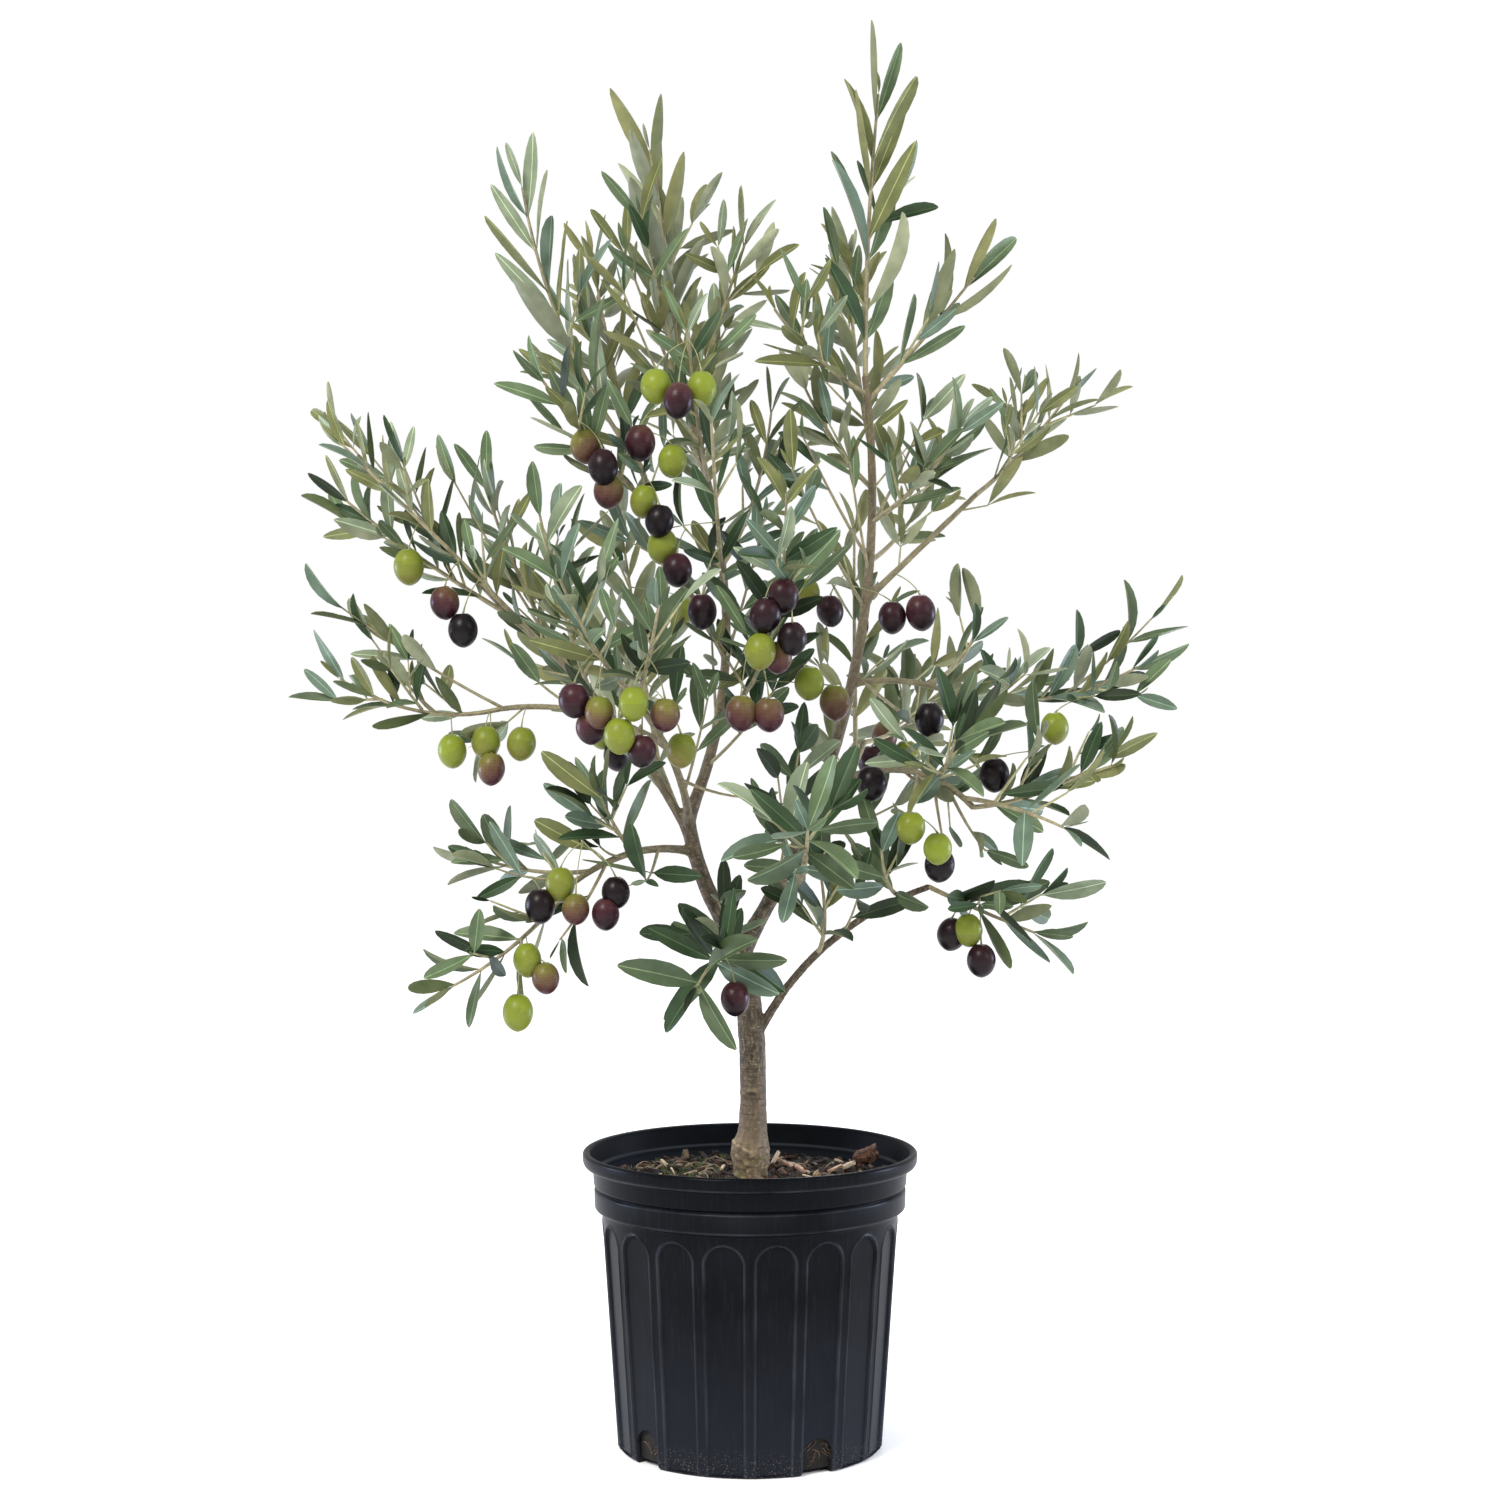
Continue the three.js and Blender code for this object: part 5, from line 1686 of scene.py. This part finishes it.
def bark_relief(point, grain):
    """Height of the bark over its smooth tube, in millimetres"""
    x, y, z = point
    g = Vector(grain) / MM
    ridges = noise.fractal(Vector((g.x / 4, g.y / 4, g.z / 12)), 1.0, 2.1, 3)
    swell = noise.noise(Vector((g.x / 11, g.y / 11, g.z / 20)))
    rings = noise.noise(Vector((g.x / 20, g.y / 20, g.z / 2.4)))
    height = 0.24 * ridges + 0.5 * swell + 0.2 * rings
    reach = math.hypot(*knot_offset(point))
    height += 0.8 * math.exp(-(reach - 1.2) ** 2 * 4) - 1.3 * math.exp(-reach ** 2 * 2)
    if z < GRAFT_HEIGHT + 40:
        above = graft_line(point)
        left = max(0, -x - 0.4 * y) / 15
        height += 3.2 * left * math.exp(-((z - SWELLING_HEIGHT) / (7 if z > SWELLING_HEIGHT else 13)) ** 2)
        height += (0.7 if x < 1 else 0.25) * math.exp(-(above / 1.6) ** 2)
        if above < 0:
            height += noise.noise(Vector((x / 5, y / 5, z / 5))) + 0.5 * noise.noise(Vector(point) / 2.2)
    return height


def bark_marks(point, girth):
    """Painted shade in the knot's slit, painted highlight on its lid and on the graft's ridge, and how
    young the bark is
    """
    across_knot, over_knot = knot_offset(point)
    # Painted shade in the knot's slit, and a painted highlight on its lid above
    slit = math.exp(-(across_knot / 0.75) ** 4 - ((over_knot + 0.15) / 0.4) ** 2)
    lid = math.exp(-(across_knot / 0.8) ** 4 - ((over_knot - 0.95 + 0.7 * across_knot ** 2) / 0.35) ** 2)
    ridge = 0
    if point[2] < GRAFT_HEIGHT + 40:
        # Painted highlight along the graft's ridge, brightest on its left, where the light falls
        ridge = (0.65 if point[0] < 1 else 0.15) * math.exp(-((graft_line(point) - 0.5) / 1.1) ** 2)
    broken = max(0, 0.6 + 1.3 * noise.noise(Vector(point) / 2.5))
    young = float(smoothstep(*YOUNG_RADII, girth)) * 0.9
    return (slit, min(1, max(0.5 * lid, ridge * broken)), young)


def make_limbs():
    """The trunk and boughs as one skin of bark, its relief fainter towards the thin ends"""
    wood = tube_curve("trunk_and_boughs", limb_lines(), 6)
    voxel = BARK_VOXEL
    apply_modifier(wood, "REMESH", mode="VOXEL", voxel_size=voxel * MM)
    apply_modifier(wood, "SMOOTH", factor=0.5, iterations=4)
    points = coordinates(wood) / MM
    grain, girth = grain_of(points)
    normals = np.empty(len(points) * 3)
    wood.data.vertices.foreach_get("normal", normals)
    heights = np.array([bark_relief(p, g) for p, g in zip(points, grain)])
    slender = np.clip(1.3 - np.linalg.norm(points - [0, 0, SOIL_TOP], axis=1) / RELIEF_FADE, 0.35, 1)
    move_points(wood, (points + normals.reshape(-1, 3) * (heights * slender)[:, None]) * MM)
    # Painted shade and highlights of the knot and the graft's ridge, and how young the bark is
    marks = np.array([bark_marks(p, radius) for p, radius in zip(points, girth)])
    for name, values in (("grain", grain), ("marks", marks)):
        attribute = wood.data.attributes.new(name, "FLOAT_VECTOR", "POINT")
        attribute.data.foreach_set("vector", values.ravel())
    hand_over(finished(wood, 70, olive_bark()), "bark", "trunk", *[row[0] for row in BOUGHS])


# Twigs, leaves and fruit as pieces

def twig_line(grown):
    """A shoot's points, and its radii at them"""
    steps = grown["steps"]
    return samples(grown["curve"], steps), [mix(grown["radii"], i / steps) for i in range(steps + 1)]


def make_twigs(twigs):
    """Olive twigs, smooth and dull: grey-brown on the older stems, grey-green on the young shoots"""
    aged = (STEM_RADII, SPRAY_RADII)
    older = [twig_line(grown) for grown in twigs if grown["radii"] in aged]
    younger = [twig_line(grown) for grown in twigs if grown["radii"] not in aged]
    brown = plain_grain("twig_bark", "#7b745a", "#999071", 5, 0.75)
    green = plain_grain("shoot_bark", "#878461", "#a5a27b", 5, 0.75)
    make_tubes("stems", older, brown, "foliage", *MASS_NAMES)
    make_tubes("shoots", younger, green, "foliage", *MASS_NAMES)


def leaf_template(arch, twist, fold, outline):
    """One blade a unit long and a unit wide, with a narrow midrib, shaped from a grid"""
    rows = len(LEAF_ROWS) - 1
    bpy.ops.mesh.primitive_grid_add(x_subdivisions=3, y_subdivisions=rows, size=2)
    leaf = named("leaf")
    points = coordinates(leaf)
    row = np.rint((points[:, 1] + 1) / 2 * rows).astype(int)
    column = np.rint((points[:, 0] + 1) / 2 * 3).astype(int)
    share, half = np.array(LEAF_ROWS)[row][:, [0, outline]].T
    rib = np.minimum(MIDRIB_HALF, half * 0.9)
    x = np.choose(column, [-half, -rib, rib, half])
    angle = twist * (share - 0.3)
    z = fold * np.abs(x) + x * np.sin(angle) * 0.25 - arch * share ** 2 + 0.35 * arch * share
    move_points(leaf, np.column_stack([x * np.cos(angle), share, z]))
    for polygon in leaf.data.polygons:
        polygon.material_index = 2 if abs(polygon.center.x) < MIDRIB_HALF * 0.5 else 0
    apply_modifier(leaf, "SOLIDIFY", thickness=LEAF_THICKNESS, offset=0, material_offset=0)
    for polygon in leaf.data.polygons:
        if polygon.normal.z < 0.3:
            polygon.material_index = 1
    return read_template(leaf)


def height_share(leaf):
    """Where a leaf is between the low leaves, broad and deep green, partly by painted shade, and the high
    ones, slim and dull
    """
    return float(np.clip((leaf["root"][2] - LEAF_HEIGHTS[0]) / (LEAF_HEIGHTS[1] - LEAF_HEIGHTS[0]), 0, 1))


def tint_of(high, draw):
    """The tint that a draw from 0 to 1 gives: greener and deeper low down, partly as painted shade, duller
    and paler high up
    """
    weights = np.array([mix(row[3:], high) for row in TINTS])
    return int(np.searchsorted(np.cumsum(weights) / weights.sum(), draw))


def make_leaves(leaves):
    """The leaves, each dealt its shape, its width and its tint, and joined tint by tint"""
    templates = [leaf_template(*shape) for shape in LEAF_SHAPES]
    rng = random.Random(77)
    spray_draws = {}
    dealt = {}
    for leaf in leaves:
        chance = spray_draws.setdefault(leaf["spray"], rng.random())
        if rng.random() < 0.62:
            chance = rng.random()
        high = height_share(leaf)
        shape = rng.randrange(3) + 3 * (rng.random() > 0.15 + 0.6 * high)
        draw, length = leaf["draw"], leaf["length"]
        width = length * mix((mix(LOW_LEAF_WIDTHS, draw), mix(HIGH_LEAF_WIDTHS, draw)), high)
        width *= LEADER_SLIMNESS if leaf["leader"] else 1
        normal = np.cross(leaf["side"], leaf["direction"])
        axes = np.column_stack([leaf["side"] * width, leaf["direction"] * length, normal * length])
        dealt.setdefault(tint_of(high, chance), {}).setdefault(shape, []).append((axes, leaf["root"]))
    for tint, shapes in sorted(dealt.items()):
        name, upper, under = TINTS[tint][:3]
        order = sorted(shapes)
        batches = [(templates[i], *zip(*shapes[i]), [0] * len(shapes[i])) for i in order]
        piece = joined(f"leaves_{name}", batches, [
            leaf_skin(f"leaf_upper_{name}", upper, 0.5),
            leaf_skin(f"leaf_under_{name}", under, 0.7),
            leaf_skin(f"leaf_rib_{name}", upper, 0.6, 2.3),
        ])
        hand_over(finished(piece, 60), "foliage", *MASS_NAMES)


def olive_template():
    """One fruit a unit across its radius: an oval with a small point below and a dimple at the stalk"""
    bpy.ops.mesh.primitive_uv_sphere_add(segments=20, ring_count=16, radius=1)
    olive = named("olive")
    points = coordinates(olive)
    down = np.clip(-points[:, 2], 0, 1)
    up = np.clip(points[:, 2], 0, 1)
    points[:, :2] *= (1 - 0.06 * down ** 2)[:, None]
    points[:, 2] -= 0.02 * smoothstep(0.97, 1, down)
    points[:, 2] -= 0.09 * smoothstep(0.93, 1, up)
    points *= [OLIVE_RADIUS, OLIVE_RADIUS, OLIVE_LENGTH / 2]
    move_points(olive, points)
    return read_template(olive)


def olive_slots(template, ripeness, rng):
    """Ripening step of each face: riper below and on one side"""
    ends = np.append(template["start"][1:], len(template["corner"]))
    rounds = [template["corner"][start:end] for start, end in zip(template["start"], ends)]
    middles = np.array([template["points"][corners].mean(0) for corners in rounds])
    x, y, z = (middles / [OLIVE_RADIUS, OLIVE_RADIUS, OLIVE_LENGTH / 2]).T
    lean = rng.uniform(-0.5, 0.5, 2)
    spread = 0.26 * math.sin(math.pi * min(max(ripeness, 0.08), 0.92))
    ripe = ripeness + spread * (x * lean[0] + y * lean[1] - z)
    return np.clip(np.rint(ripe * (SKIN_STEPS - 1)), 0, SKIN_STEPS - 1).astype(int)


def make_olives(twigs):
    """The olives in their places, each on a stalk from the nearest twig or bough above it"""
    base = olive_template()
    rng = np.random.default_rng(5)
    batches = []
    stalks = []
    hooks = [axis_point(t["curve"], t["steps"], (i + 0.5) / 8) for t in twigs for i in range(8)]
    hooks += [point for name in limbs if name != "trunk" for point in samples(limbs[name]["curve"], 24)]
    hooks = np.array(hooks)
    for place, ripeness in OLIVES:
        size = rng.uniform(0.93, 1.05)
        angle = rng.uniform(0, math.tau)
        tilt = rng.normal(0, 0.12)
        frames = turned_frames([angle], [tilt], [(size, size, size * rng.uniform(0.94, 1.04))])
        batches.append((dict(base, slot=olive_slots(base, ripeness, rng)), frames, [place], [0]))
        top = place + UP * OLIVE_LENGTH * 0.44 * size
        reach = np.linalg.norm(hooks - (top + UP * STALK_RISE), axis=1) + 100 * (hooks[:, 2] < top[2] + 3)
        root = hooks[reach.argmin()]
        middle = root * 0.3 + top * 0.7 + UP * (root[2] - top[2]) * 0.4
        stalks.append((samples((root, middle, top), len(STALK_RADII) - 1), STALK_RADII))
    olives = joined("olives", batches, [olive_skin(i) for i in range(SKIN_STEPS)])
    hand_over(finished(olives, 70), "foliage", *MASS_NAMES)
    # The skin of green stalks, smooth and dull, turning brown
    stalk_skin = plain_grain("stalk_skin", "#6d6e4a", "#8f8f68", 5, 0.75)
    make_tubes("olive_stalks", stalks, stalk_skin, "foliage", *MASS_NAMES)


def make_roots():
    """Fine roots of the root ball behind the drain holes: dry, brown and matt"""
    rng = np.random.default_rng(41)
    lines = []
    for turn in np.repeat(DRAIN_TURNS, ROOTS_PER_HOLE):
        angle = math.radians(turn) + rng.uniform(-0.12, 0.09)
        height = rng.uniform(7, 24)
        heading = rng.uniform(-0.8, 0.8)
        points = []
        for _ in range(7):
            radius = body_radius(height) - WALL - 1.3
            points.append((radius * math.sin(angle), -radius * math.cos(angle), height))
            angle += 0.022 * math.cos(heading)
            height = min(28, max(6, height + 2.4 * math.sin(heading)))
            heading += rng.normal(0, 0.5)
        lines.append((points, np.linspace(0.34, 0.18, 7) * rng.uniform(0.7, 1.3)))
    make_tubes("fine_roots", lines, plain_grain("root_skin", "#2e2218", "#75604a", 2, 0.8, 0.1), "soil")


# Camera, floor and light

def make_camera():
    data = bpy.data.cameras.new("camera")
    data.lens = CAMERA_LENS
    data.sensor_width = 36
    camera = new_object("camera", data)
    camera.location = CAMERA_PLACE
    camera.rotation_euler = (math.radians(90 - CAMERA_PITCH), 0, 0)
    bpy.context.scene.camera = camera


def make_floor():
    """Matt white paper: even and without any shine"""
    bpy.ops.mesh.primitive_circle_add(vertices=96, radius=12, fill_type="NGON")
    floor = named("studio_floor")
    material, _, shader, _ = start_material("matte_white_paper", 1.0, sheen=0)
    shader.inputs["Base Color"].default_value = colour("#ffffff")
    floor.data.materials.append(material)


def area_light(name, place, target, size, power, tint):
    data = bpy.data.lights.new(name, "AREA")
    data.shape = "DISK"
    data.size = size
    data.energy = power
    data.color = colour(tint)[:3]
    lamp = new_object(name, data)
    lamp.location = place
    lamp.rotation_euler = (Vector(target) - Vector(place)).to_track_quat("-Z", "Y").to_euler()


def make_light():
    world = bpy.data.worlds.new("studio")
    bpy.context.scene.world = world
    world.use_nodes = True
    background = world.node_tree.nodes["Background"]
    background.inputs["Color"].default_value = colour("#ffffff")
    background.inputs["Strength"].default_value = 1.0
    for name, lamp in LAMPS.items():
        area_light(name, *lamp)
    bpy.context.scene.view_settings.view_transform = "Standard"


make_camera()
make_floor()
make_light()

twigs, leaves = grow_crown()
make_pot()
make_soil()
make_chips()
make_straw()
make_moss()
make_litter()
make_dry_stems()
make_bark_lump()
make_roots()
make_limbs()
make_twigs(twigs)
make_leaves(leaves)
make_olives(twigs)
deselect()
